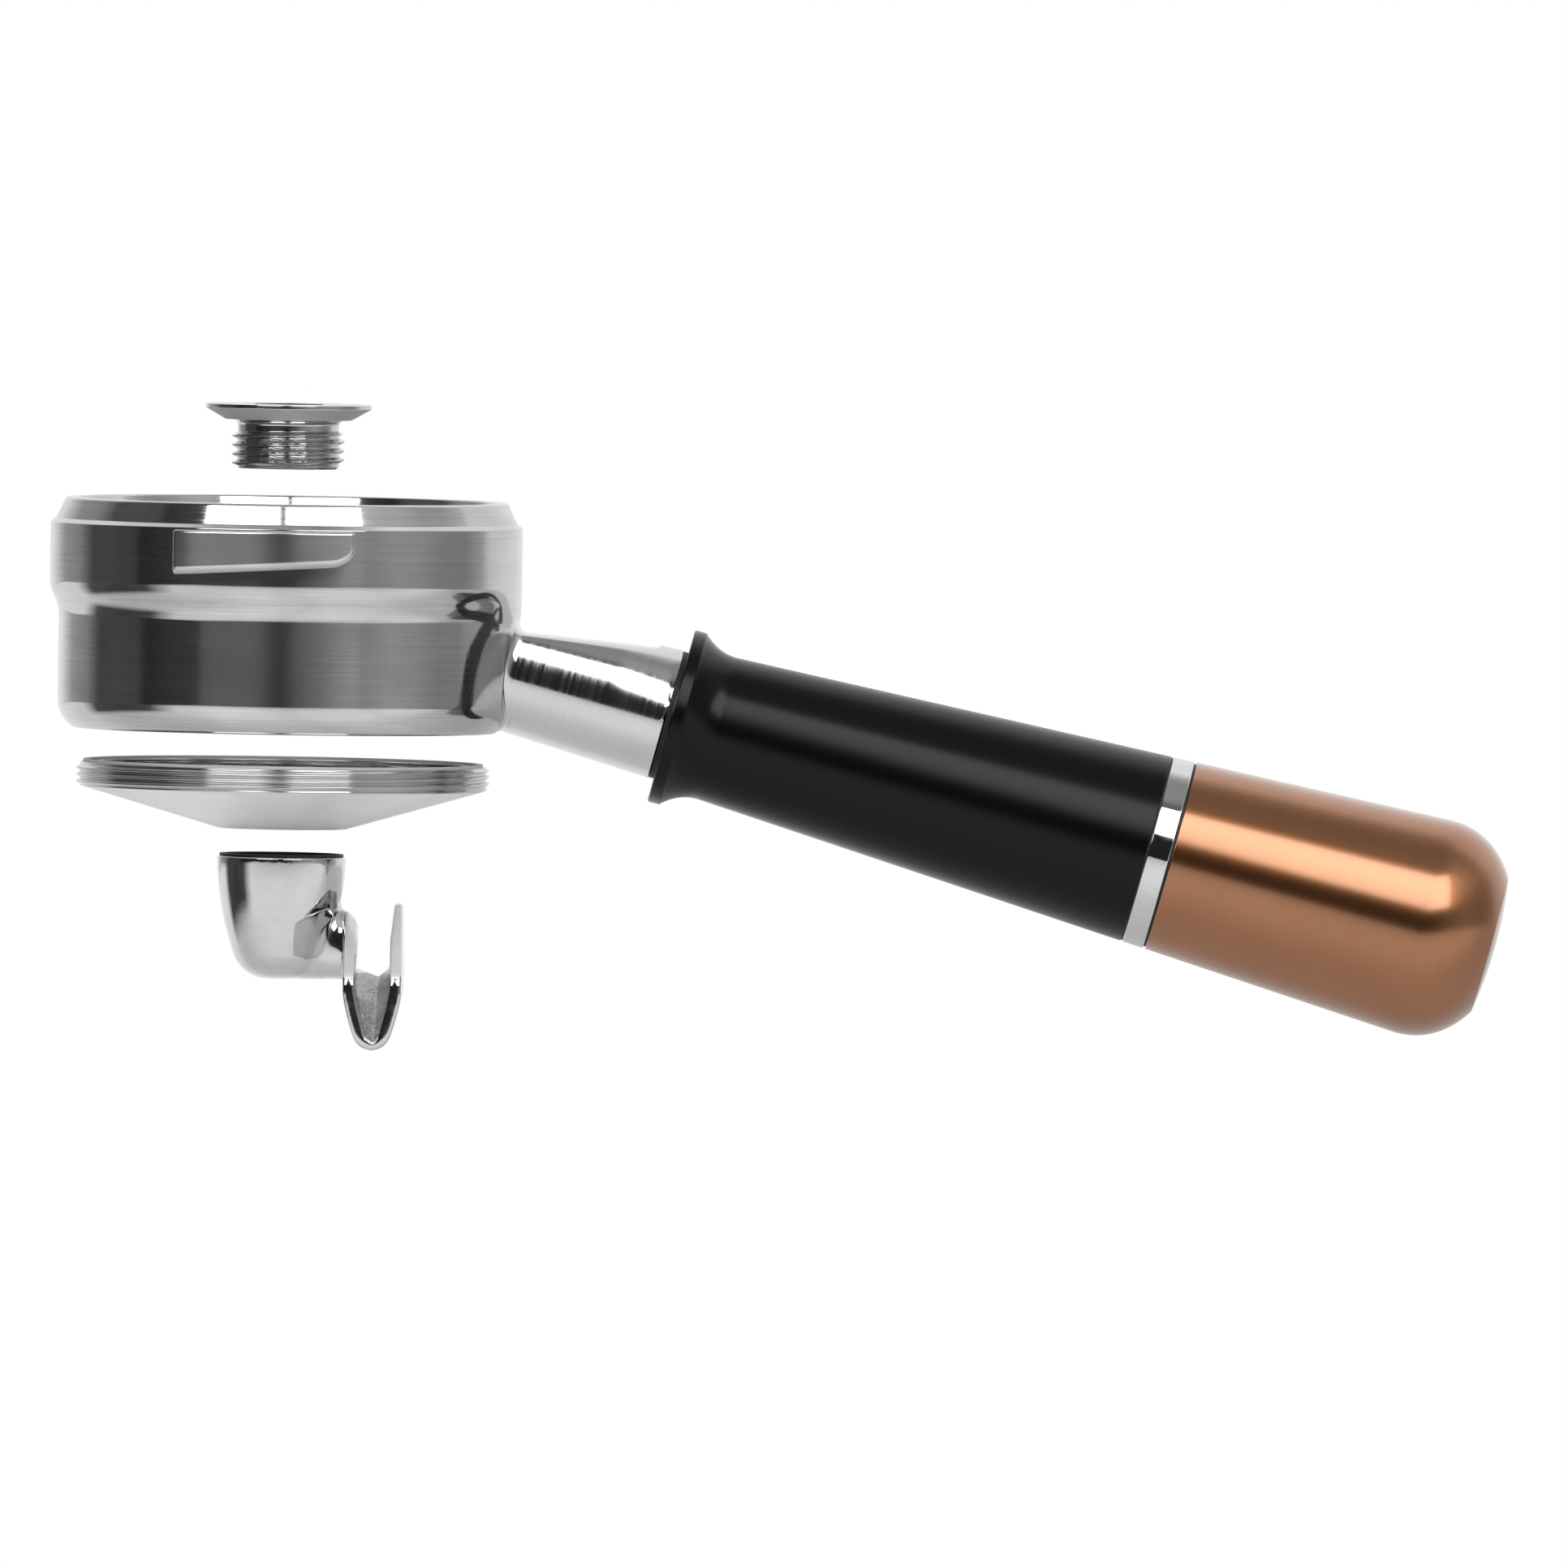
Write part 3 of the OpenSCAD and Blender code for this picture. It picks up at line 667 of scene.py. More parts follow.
# Plain carbon steel off the lathe: greyer and duller than the stainless
PLAIN_STEEL = Finish(
    "turned_carbon_steel", "plain_steel", "#a9a9ab", 1.0, 0.3, 0.06, 0.2, 0.002, Marks.ROUND_GRIP, 40.0
)
# Aluminium, blasted and anodised black: an even satin black with a soft wide highlight
BLACK_ANODISED = Finish(
    "black_anodised_aluminium", "black_anodised", "#050506", 0.0, 0.24, 0.02, 0.12, 0.0003,
    shift=0.1, shine=0.22,
)
# Aluminium, brushed on the lathe and anodised copper: a warm brown metal under a clear oxide film, with marks
# round the axis that blur its highlight lengthways
COPPER_ANODISED = Finish(
    "copper_anodised_aluminium", "copper_anodised", "#a46c43", 1.0, 0.29, 0.015, 0.16, 0.00012,
    Marks.ROUND_GRIP, 80.0, 0.07, coat=0.75, film=1.7, grain=0.75,
)
# Moulded nitrile rubber: dull black with a faint skin
SEAL_RUBBER = Finish("moulded_nitrile_rubber", "seal_rubber", "#161616", 0.0, 0.55, 0.06, 0.3, 0.004)
# Moulded silicone, pale grey: a soft, dull skin
PALE_SILICONE = Finish("moulded_pale_silicone", "seal_rubber", "#b9b9b6", 0.0, 0.5, 0.06, 0.3, 0.004)


def paint(piece: Object, finishes: list[Finish], pick: Callable[[Any], int] | None = None) -> None:
    """Gives a piece its finishes, and each face the one that is picked for it.

    Args:
        piece: modelled piece.
        finishes: finishes of its surface, the main one first.
        pick: number of the finish for a face; without it all faces have the first.
    """
    piece.data.materials.clear()
    for finish in finishes:
        piece.data.materials.append(finish.material())
    for face in piece.data.polygons if pick else ():
        face.material_index = pick(face)


def hand_over(piece: Object, body: str, node: str, finish: Finish) -> None:
    """Gives a modelled piece its finish and its body, hides the solid it stands for, and reports it.

    Args:
        piece: modelled piece.
        body: body that it moves with.
        node: solid that it replaces.
        finish: main finish of its surface.
    """
    if not piece.data.materials:
        paint(piece, [finish])
    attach(piece, body)
    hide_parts(node)
    LOG.info("%s: %d faces, rides on %s", piece.name, len(piece.data.polygons), body)


@dataclass
class Head:
    """Head with its rim, two bayonet lugs, the neck with its pilot, and the wire spring in the bore."""

    rim_r: float = 32.6
    band_r: float = 34.9
    wall_r: float = 33.5
    bore_r: float = 30.2
    base_bore_r: float = 30.62
    shoulder_r: float = 28.3
    lip_r: float = 31.27
    height: float = 34.0
    # Width and height of the rim's chamfer, and the margin by which its faces are told
    chamfer: Point = (1.5, 3.1)
    margin: float = 0.1
    # Top and foot of the band
    band: Point = (-3.7, -11.9)
    waist_foot: float = -17.5
    corner_r: float = 5.2
    # How far the lead-in widens the bore, and the height where it ends
    lead_in: Point = (0.72, -1.5)
    # Depth, top and foot of the spring's groove
    spring_groove: Corner = (1.08, -8.35, -9.65)
    bore_foot: float = -26.6
    # Top and foot of the shoulder that the base seals on
    shoulder_z: Point = (-28.5, -30.05)
    # The pad beside the neck: heights where it is gone and full, and angles where it is full and gone
    boss_z: Point = (-27.0, -14.5)
    boss_turn: Point = (12.0, 37.0)
    boss_clear: float = 0.3
    lug_r: float = 39.0
    # Left and right end of the front lug, and its top, thick foot and thin foot
    lug_x: Point = (-16.4, 10.5)
    lug_z: Corner = (-3.9, -10.5, -8.9)
    lug_corner_r: float = 3.4
    lug_corner_fall: float = 0.8
    lug_end_r: float = 0.5
    # Rounding of the lug's upper and lower edge, and the most of its height they take up
    lug_edge_r: Point = (0.45, 1.15)
    lug_edge_share: Point = (0.4, 0.45)
    lug_sink: float = 1.0
    # Radius of the neck at the head and at the grip
    neck_r: Point = (8.9, 9.8)
    neck_end: float = 58.5
    neck_edge: float = 0.25
    neck_sink: float = 1.3
    neck_rows: int = 40
    sides: int = 128
    egg: float = 0.05
    # Exponent of the neck's upper half, and the station from which it goes to 1 and the length it takes
    squareness: float = 0.88
    round_from: Point = (50.0, 8.0)
    panel_depth: float = 18.95
    panel_tilt: float = 5.2
    panel_end: float = 55.6
    panel_rise: float = 3.0
    # How far before the panel's end its run-out starts, and its length
    rise_span: Point = (1.3, 1.6)
    panel_soft: float = 0.9
    # Stations between which the neck's root is looked for
    root_span: Point = (20.0, 50.0)
    halvings: int = 40
    pilot_r: float = 7.4
    pilot_end: float = 66.0
    # Radius, start and end of the seal's groove
    seal_groove: Corner = (6.95, 61.8, 63.2)
    stud_bore_r: float = 6.12
    stud_bore_end: float = 60.0
    # Size of the root's fillet below the neck and above it
    fillet: Point = (0.4, 2.0)
    fillet_fade: float = 0.6
    fillet_sink: float = 0.5
    fillet_steps: int = 12
    fillet_clear: float = 0.06
    wire_r: float = 0.6
    # How far the wire's centre lies behind the bore and its height, then its start and sweep
    wire_at: Point = (0.43, -9.0)
    wire_arc: Point = (21.0, 318.0)
    axis: GripAxis = GripAxis()

    def corner_z(self) -> float:
        """Height of the centre of the rounded lower corner."""
        return -self.height + math.sqrt(self.corner_r**2 - (self.lip_r - self.wall_r + self.corner_r) ** 2)

    def waist(self) -> Point:
        """Radius and angle of the two arcs that make the step from band to wall.

        Returns:
            Radius in millimetres and angle in degrees.
        """
        fall = self.band[1] - self.waist_foot
        angle = 2 * math.degrees(math.atan((self.band_r - self.wall_r) / fall))
        return fall / 2 / math.sin(math.radians(angle)), angle

    def profile_r(self, z: float) -> float:
        """Outer radius of the turned head at a height, from the waist down.

        Args:
            z: height in millimetres.

        Returns:
            The radius in millimetres.
        """
        r, _ = self.waist()
        middle = (self.band[1] + self.waist_foot) / 2
        if z > self.band[1]:
            return self.band_r
        if z > middle:
            return self.band_r - r + math.sqrt(r * r - (self.band[1] - z) ** 2)
        if z > self.waist_foot:
            return self.wall_r + r - math.sqrt(r * r - (z - self.waist_foot) ** 2)
        if z > self.corner_z():
            return self.wall_r
        across = self.corner_r**2 - (self.corner_z() - z) ** 2
        return self.wall_r - self.corner_r + math.sqrt(max(0.0, across))

    def boss(self, z: float) -> float:
        """How far the pad round the neck's root stands out from the turned head at a height."""
        low, high = self.boss_z
        return max(0.0, self.band_r - max(self.wall_r, self.profile_r(z))) * ease((z - low) / (high - low))

    def outside_r(self, z: float) -> float:
        """Outer radius of the head beside the neck, with the pad, at a height."""
        return self.profile_r(z) + self.boss(z)

    def ring(self) -> Object:
        """Turns the head's ring, and draws out the pad in which the waist runs out beside the neck.

        Returns:
            The ring.
        """
        r, angle = self.waist()
        low = math.degrees(math.asin((self.height + self.corner_z()) / self.corner_r))
        flare, flare_foot = self.lead_in
        cut, cut_top, cut_foot = self.spring_groove
        step_top, step_foot = self.shoulder_z
        outline = soften(
            [(self.bore_r + flare, 0, 0.4), (self.rim_r, 0, 0.6)]
            + [(self.rim_r + self.chamfer[0], -self.chamfer[1], 0.25), (self.band_r, self.band[0], 0.2)]
            + bow(self.band_r - r, self.band[1], r, 0, -angle)
            + bow(self.wall_r + r, self.waist_foot, r, 180 - angle, 180)[1:]
            + bow(self.wall_r - self.corner_r, self.corner_z(), self.corner_r, 0, -low, 20)[:-1]
            + [(self.lip_r, -self.height, 0.12), (self.base_bore_r, -self.height, 0.2)]
            + [(self.base_bore_r, step_foot, 0.1), (self.shoulder_r, step_foot, 0.2)]
            + [(self.shoulder_r, step_top, 0.4), (self.bore_r, self.bore_foot, 0.3)]
            + [(self.bore_r, cut_foot, 0.08), (self.bore_r + cut, cut_foot, 0.1)]
            + [(self.bore_r + cut, cut_top, 0.1), (self.bore_r, cut_top, 0.08)]
            + [(self.bore_r, flare_foot, 0.3)]
        )
        obj = turned("head_ring", outline, segments=224)
        full, none = self.boss_turn
        for vertex in obj.data.vertices:
            x, y, z = vertex.co / MM
            r, turn = math.hypot(x, y), abs(math.degrees(math.atan2(y, x)))
            if r < self.base_bore_r + self.boss_clear or not -self.height < z < self.band[1] or turn > none:
                continue
            grow = 1 + self.boss(z) * ease((none - turn) / (none - full)) / r
            vertex.co.x, vertex.co.y = vertex.co.x * grow, vertex.co.y * grow
        return smooth(obj)

    def lug(self) -> Object:
        """Lofts the front bayonet lug: an arc that stands out from the band, ramped below, soft-edged.

        Returns:
            The lug, with its finish.
        """
        top, thick, thin = self.lug_z
        left, right = self.lug_x
        c, end = self.lug_corner_r, self.lug_end_r
        slope = (thin - thick) / (right - left)
        quarter = np.linspace(0, math.pi / 2, 9)
        stations = [(left + end * (1 - math.cos(t)), end * (1 - math.sin(t))) for t in quarter]
        stations += [(x, 0.0) for x in np.linspace(left + end, right - c, 30)[1:-1]]
        stations += [(right - c + (c - end) * math.sin(t), 0.0) for t in quarter]
        stations += [(right - end * (1 - math.cos(t)), end * (1 - math.sin(t))) for t in quarter[::-1][1:]]
        rows = []
        for x, inset in stations:
            over = clamp((x - right + c) / c)
            foot = thick + slope * (x - left) + inset
            foot += c * (1 - math.sqrt(1 - over * over)) * self.lug_corner_fall
            roof = top - inset
            upper, lower = (
                min(most, share * (roof - foot)) for most, share in zip(self.lug_edge_r, self.lug_edge_share)
            )
            outer, inner = self.lug_r - inset, self.wall_r - self.lug_sink
            section = [(inner, roof)]
            for t in quarter:
                section.append((outer - upper * (1 - math.sin(t)), roof - upper * (1 - math.cos(t))))
            for t in quarter:
                section.append((outer - lower * (1 - math.cos(t)), foot + lower * (1 - math.sin(t))))
            section += [(inner, foot), section[0]]
            rows.append([Vector((x, -math.sqrt(r * r - x * x), z)) for r, z in section])
        obj = smooth(loft("lug", rows, capped=True), degrees=50)
        modify(obj, "WEIGHTED_NORMAL", keep_sharp=True, weight=60)
        paint(obj, [BRUSHED_STEEL])
        return obj

    def neck_radius(self, station: float) -> float:
        """Radius of the neck at a station along the grip axis."""
        k = max(0.0, (station - self.wall_r) / (self.neck_end - self.wall_r))
        return self.neck_r[0] + (self.neck_r[1] - self.neck_r[0]) * k

    def neck_point(self, angle: float, station: float) -> Vector:
        """Place on the neck's surface, with its top let down to the flat panel.

        Args:
            angle: angle round the axis from its top, in radians.
            station: distance along the axis.

        Returns:
            The place in millimetres.
        """
        r = self.neck_radius(station)
        start, length = self.round_from
        full = self.squareness + (1 - self.squareness) * clamp((station - start) / length)
        up, side = r * math.cos(angle), r * math.sin(angle)
        if up > 0:
            up, side = r * math.cos(angle) ** full, math.copysign(r * abs(math.sin(angle)) ** full, side)
        side *= 1 - self.egg * math.cos(angle)
        tilt = math.radians(self.panel_tilt)
        normal = Vector((math.sin(tilt), 0, math.cos(tilt)))
        below = Vector((self.wall_r, 0, -self.panel_depth)) - self.axis.at(station)
        before, length = self.rise_span
        level = normal.dot(below) / normal.dot(self.axis.above())
        level += self.panel_rise * ease((station - self.panel_end + before) / length)
        h = clamp(0.5 + 0.5 * (level - up) / self.panel_soft)
        return self.axis.at(station, level + (up - level) * h - self.panel_soft * h * (1 - h), side)

    def station_at(self, angle: float, inset: float) -> float:
        """Station where a line along the neck enters the head, some way under its surface.

        Args:
            angle: angle of the line round the axis, in radians.
            inset: depth under the head's surface, in millimetres.

        Returns:
            The station in millimetres.
        """
        low, high = self.root_span
        for _ in range(self.halvings):
            middle = (low + high) / 2
            p = self.neck_point(angle, middle)
            outside = math.hypot(p.x, p.y) > self.outside_r(p.z) - inset
            low, high = (low, middle) if outside else (middle, high)
        return high

    def angles(self) -> list[float]:
        """Angles of the neck's sides round its axis, with the full turn at the end."""
        return [2 * math.pi * i / self.sides for i in range(self.sides + 1)]

    def neck(self) -> Object:
        """Lofts the neck from the head's wall to the pilot, with the seal's groove and the stud's bore.

        Returns:
            The neck.
        """
        starts = [self.station_at(a, self.neck_sink) for a in self.angles()]
        last = self.neck_end - self.neck_edge
        rows = []
        for i in range(self.neck_rows + 1):
            k = i / self.neck_rows
            rows.append([self.neck_point(a, s + (last - s) * k) for a, s in zip(self.angles(), starts)])
        end_r, groove = self.neck_r[1], self.seal_groove
        # Radius and station of the turned end, with all edges broken
        profile = [(end_r - 0.1, last + 0.18), (end_r - 0.3, self.neck_end)]
        profile += [(self.pilot_r + 0.1, self.neck_end), (self.pilot_r, self.neck_end + 0.1)]
        profile += [(self.pilot_r, groove[1]), (groove[0], groove[1] + 0.05)]
        profile += [(groove[0], groove[2] - 0.05), (self.pilot_r, groove[2])]
        profile += [(self.pilot_r, self.pilot_end - 0.5), (self.pilot_r - 0.5, self.pilot_end)]
        profile += [(self.stud_bore_r + 0.3, self.pilot_end), (self.stud_bore_r, self.pilot_end - 0.3)]
        profile += [(self.stud_bore_r, self.stud_bore_end)]
        for r, t in profile:
            rows.append([self.axis.at(t, r * math.cos(a), r * math.sin(a)) for a in self.angles()])
        return smooth(loft("neck", rows, capped=True), degrees=35)

    def root_fillet(self) -> Object:
        """Lofts the hollow fillet that runs round the neck where it leaves the head.

        Returns:
            The fillet.
        """
        least, most = self.fillet
        steps, sink = self.fillet_steps, self.fillet_sink
        # Small steps in height and angle that slopes are worked out over
        nudge, twist = 0.05, 0.01
        rows: list[list[Vector]] = [[] for _ in range(steps + 4)]
        for a in self.angles():
            size = least + (most - least) * (0.5 + 0.5 * math.cos(a)) ** self.fillet_fade
            station = self.station_at(a, 0.0)
            foot = self.neck_point(a, station)
            edge = self.neck_point(a, station + size)
            sides = self.neck_point(a + twist, station) - self.neck_point(a - twist, station)
            neck_out = sides.cross(edge - foot).normalized()
            if neck_out.dot(foot - self.axis.at(station)) < 0:
                neck_out.negate()
            slope = (self.outside_r(foot.z - nudge) - self.outside_r(foot.z + nudge)) / (2 * nudge)
            radial = Vector((foot.x, foot.y, 0)).normalized()
            head_out = (radial + Vector((0, 0, slope))).normalized()
            away = (neck_out - head_out * neck_out.dot(head_out)).normalized()
            end = foot + away * size
            end.z = max(end.z, -self.height + self.fillet_clear)
            flat = Vector((end.x, end.y, 0)).normalized() * self.outside_r(end.z)
            end = Vector((flat.x, flat.y, end.z))
            for k in range(steps + 1):
                s = k / steps
                rows[k].append(edge * (1 - s) ** 2 + foot * (2 * s * (1 - s)) + end * s * s)
            rows[-3].append(end - head_out * sink)
            rows[-2].append(foot - head_out * sink - neck_out * sink)
            rows[-1].append(edge - neck_out * sink)
        return smooth(loft("root_fillet", rows + rows[:1], capped=False), degrees=40)

    def spring(self) -> Object:
        """Bends the open wire spring that grips the basket.

        Returns:
            The spring.
        """
        centre, level = self.bore_r + self.wire_at[0], self.wire_at[1]
        turns = np.linspace(0, 2 * math.pi, 21)
        wire = [(centre + self.wire_r * math.cos(t), level + self.wire_r * math.sin(t)) for t in turns]
        return smooth(turned("basket_wire", wire, 160, *self.wire_arc), degrees=40)

    def ring_finish(self, face: Any) -> int:
        """Number of a ring face's finish: 1 on the rim's chamfer."""
        x, y, z = face.center / MM
        return int(math.hypot(x, y) > self.rim_r - self.margin and -self.chamfer[1] < z < -self.margin)

    def build(self) -> None:
        """Builds the head and its spring and hands them over."""
        front = self.lug()
        select_only(front)
        bpy.ops.object.duplicate()
        rear = bpy.context.object
        rear.rotation_euler = (0, 0, math.pi)
        settle(rear)
        ring, neck, fillet = self.ring(), self.neck(), self.root_fillet()
        paint(ring, [SATIN_STEEL, LINISHED_STEEL], self.ring_finish)
        paint(neck, [HAND_POLISHED])
        paint(fillet, [HAND_POLISHED])
        piece = join([ring, neck, fillet, front, rear], "head_body")
        hand_over(piece, "head", "head_casting", SATIN_STEEL)
        hand_over(self.spring(), "head", "basket_spring", SPRING_WIRE)


@dataclass
class Base:
    """Dished base with a thread round its rim and a seat for the screw."""

    edge_z: float = -42.6
    top_z: float = -39.1
    foot_z: float = -48.6
    root_r: float = 30.0
    dish_r: float = 28.2
    flat_r: float = 9.5
    bore_r: float = 8.45
    seat_r: float = 12.45
    seat_drop: float = 0.6
    floor: float = 2.0
    hub_r: float = 9.5
    hub_drop: float = 1.7
    # Inner and outer radius and depth of the gasket's groove
    groove: Corner = (28.6, 29.6, 0.7)
    room: float = 0.05
    run_in: float = 0.05
    # Faces whose normal has a Z below this are the blasted underside
    underside: float = -0.8
    thread: Thread = Thread(crest=30.5, pitch=1.0, land=0.12, rounding=0.95)

    def finish_of(self, face: Any) -> int:
        """Number of a face's finish: 1 on the blasted underside."""
        return int(face.normal.z < self.underside and face.center.z < self.edge_z * MM)

    def build(self) -> None:
        """Turns the dish with the thread round its rim and hands it over."""
        slope = (self.edge_z - self.foot_z) / (self.root_r - self.flat_r)
        dish_z = self.foot_z + self.floor + slope * (self.dish_r - self.flat_r)
        seat_z = self.foot_z + self.floor + slope * (self.seat_r - self.flat_r)
        seat_low = seat_z - self.seat_drop - self.room
        hub_z = seat_low - self.hub_drop
        inner, outer, deep = self.groove
        outline = soften(
            [(self.bore_r, self.foot_z + self.room, 0.15), (self.flat_r, self.foot_z + self.room, 0.5)]
            + [(self.root_r, self.edge_z, 0.15), (self.root_r, self.top_z, 0.15)]
            + [(outer, self.top_z, 0.05), (outer, self.top_z - deep, 0.05)]
            + [(inner, self.top_z - deep, 0.05), (inner, self.top_z, 0.05)]
            + [(self.dish_r, self.top_z, 0.15), (self.dish_r, dish_z, 0.8), (self.seat_r, seat_z, 0.12)]
            + [(self.seat_r, seat_low, 0.08), (self.hub_r, hub_z, 0.1), (self.bore_r, hub_z, 0.1)]
        )
        piece = self.thread.cut("dished_base", outline, self.edge_z + self.run_in, self.top_z - self.run_in)
        smooth(piece, degrees=40)
        paint(piece, [TURNED_STEEL, BLASTED_STEEL], self.finish_of)
        hand_over(piece, "base", "base_plate", TURNED_STEEL)


@dataclass
class SpoutScrew:
    """Hollow screw with a flange, a plain neck and a pipe thread, and a hexagon socket right through."""

    top_z: float = 14.163
    flange_r: float = 12.3
    edge: float = 0.6
    cone_r: float = 9.35
    cone_h: float = 1.7
    undercut: float = 1.9
    root_r: float = 7.5
    root_round: float = 0.83
    ridges: int = 4
    # How far above the foot the thread starts, and how far it runs into the undercut
    run_in: Point = (0.1, 0.3)
    hex_flats: float = 10.0
    hex_beyond: float = 4.0
    # The blasted cone: how far inside its radius it starts, and the range of its normals' Z
    cone_margin: float = 0.2
    cone_normal: Point = (-0.95, -0.2)
    thread: Thread = Thread(crest=8.33, pitch=1.337, land=0.14, rounding=0.3)

    def finish_of(self, face: Any) -> int:
        """Number of a face's finish: 1 on the blasted cone under the flange."""
        wide = math.hypot(*face.center[:2]) > (self.cone_r - self.cone_margin) * MM
        return int(wide and self.cone_normal[0] < face.normal.z < self.cone_normal[1])

    def build(self) -> None:
        """Turns the screw with its thread, cuts its socket and hands it over."""
        cone_z = self.top_z - self.edge - self.cone_h
        thread_z = cone_z - self.undercut
        foot_z = thread_z - self.ridges * self.thread.pitch
        outline = soften(
            [(0, self.top_z, 0), (self.flange_r, self.top_z, 0.12)]
            + [(self.flange_r, self.top_z - self.edge, 0.12)]
            + [(self.cone_r, cone_z, 0.3), (self.root_r, cone_z, self.root_round)]
            + [(self.root_r, foot_z, 0.35), (0, foot_z, 0)],
            closed=False,
        )
        outline.append(outline[0])
        piece = self.thread.cut("hollow_screw", outline, foot_z + self.run_in[0], thread_z + self.run_in[1])
        socket = add_object(
            bpy.ops.mesh.primitive_cylinder_add,
            vertices=6,
            radius=self.hex_flats / math.sqrt(3) * MM,
            depth=(self.top_z - foot_z + self.hex_beyond) * MM,
            location=(0, 0, (self.top_z + foot_z) / 2 * MM),
        )
        combine(piece, socket, "DIFFERENCE")
        smooth(piece, degrees=40)
        paint(piece, [BRIGHT_TURNED, BLASTED_STEEL], self.finish_of)
        hand_over(piece, "screw", "spout_screw", BRIGHT_TURNED)


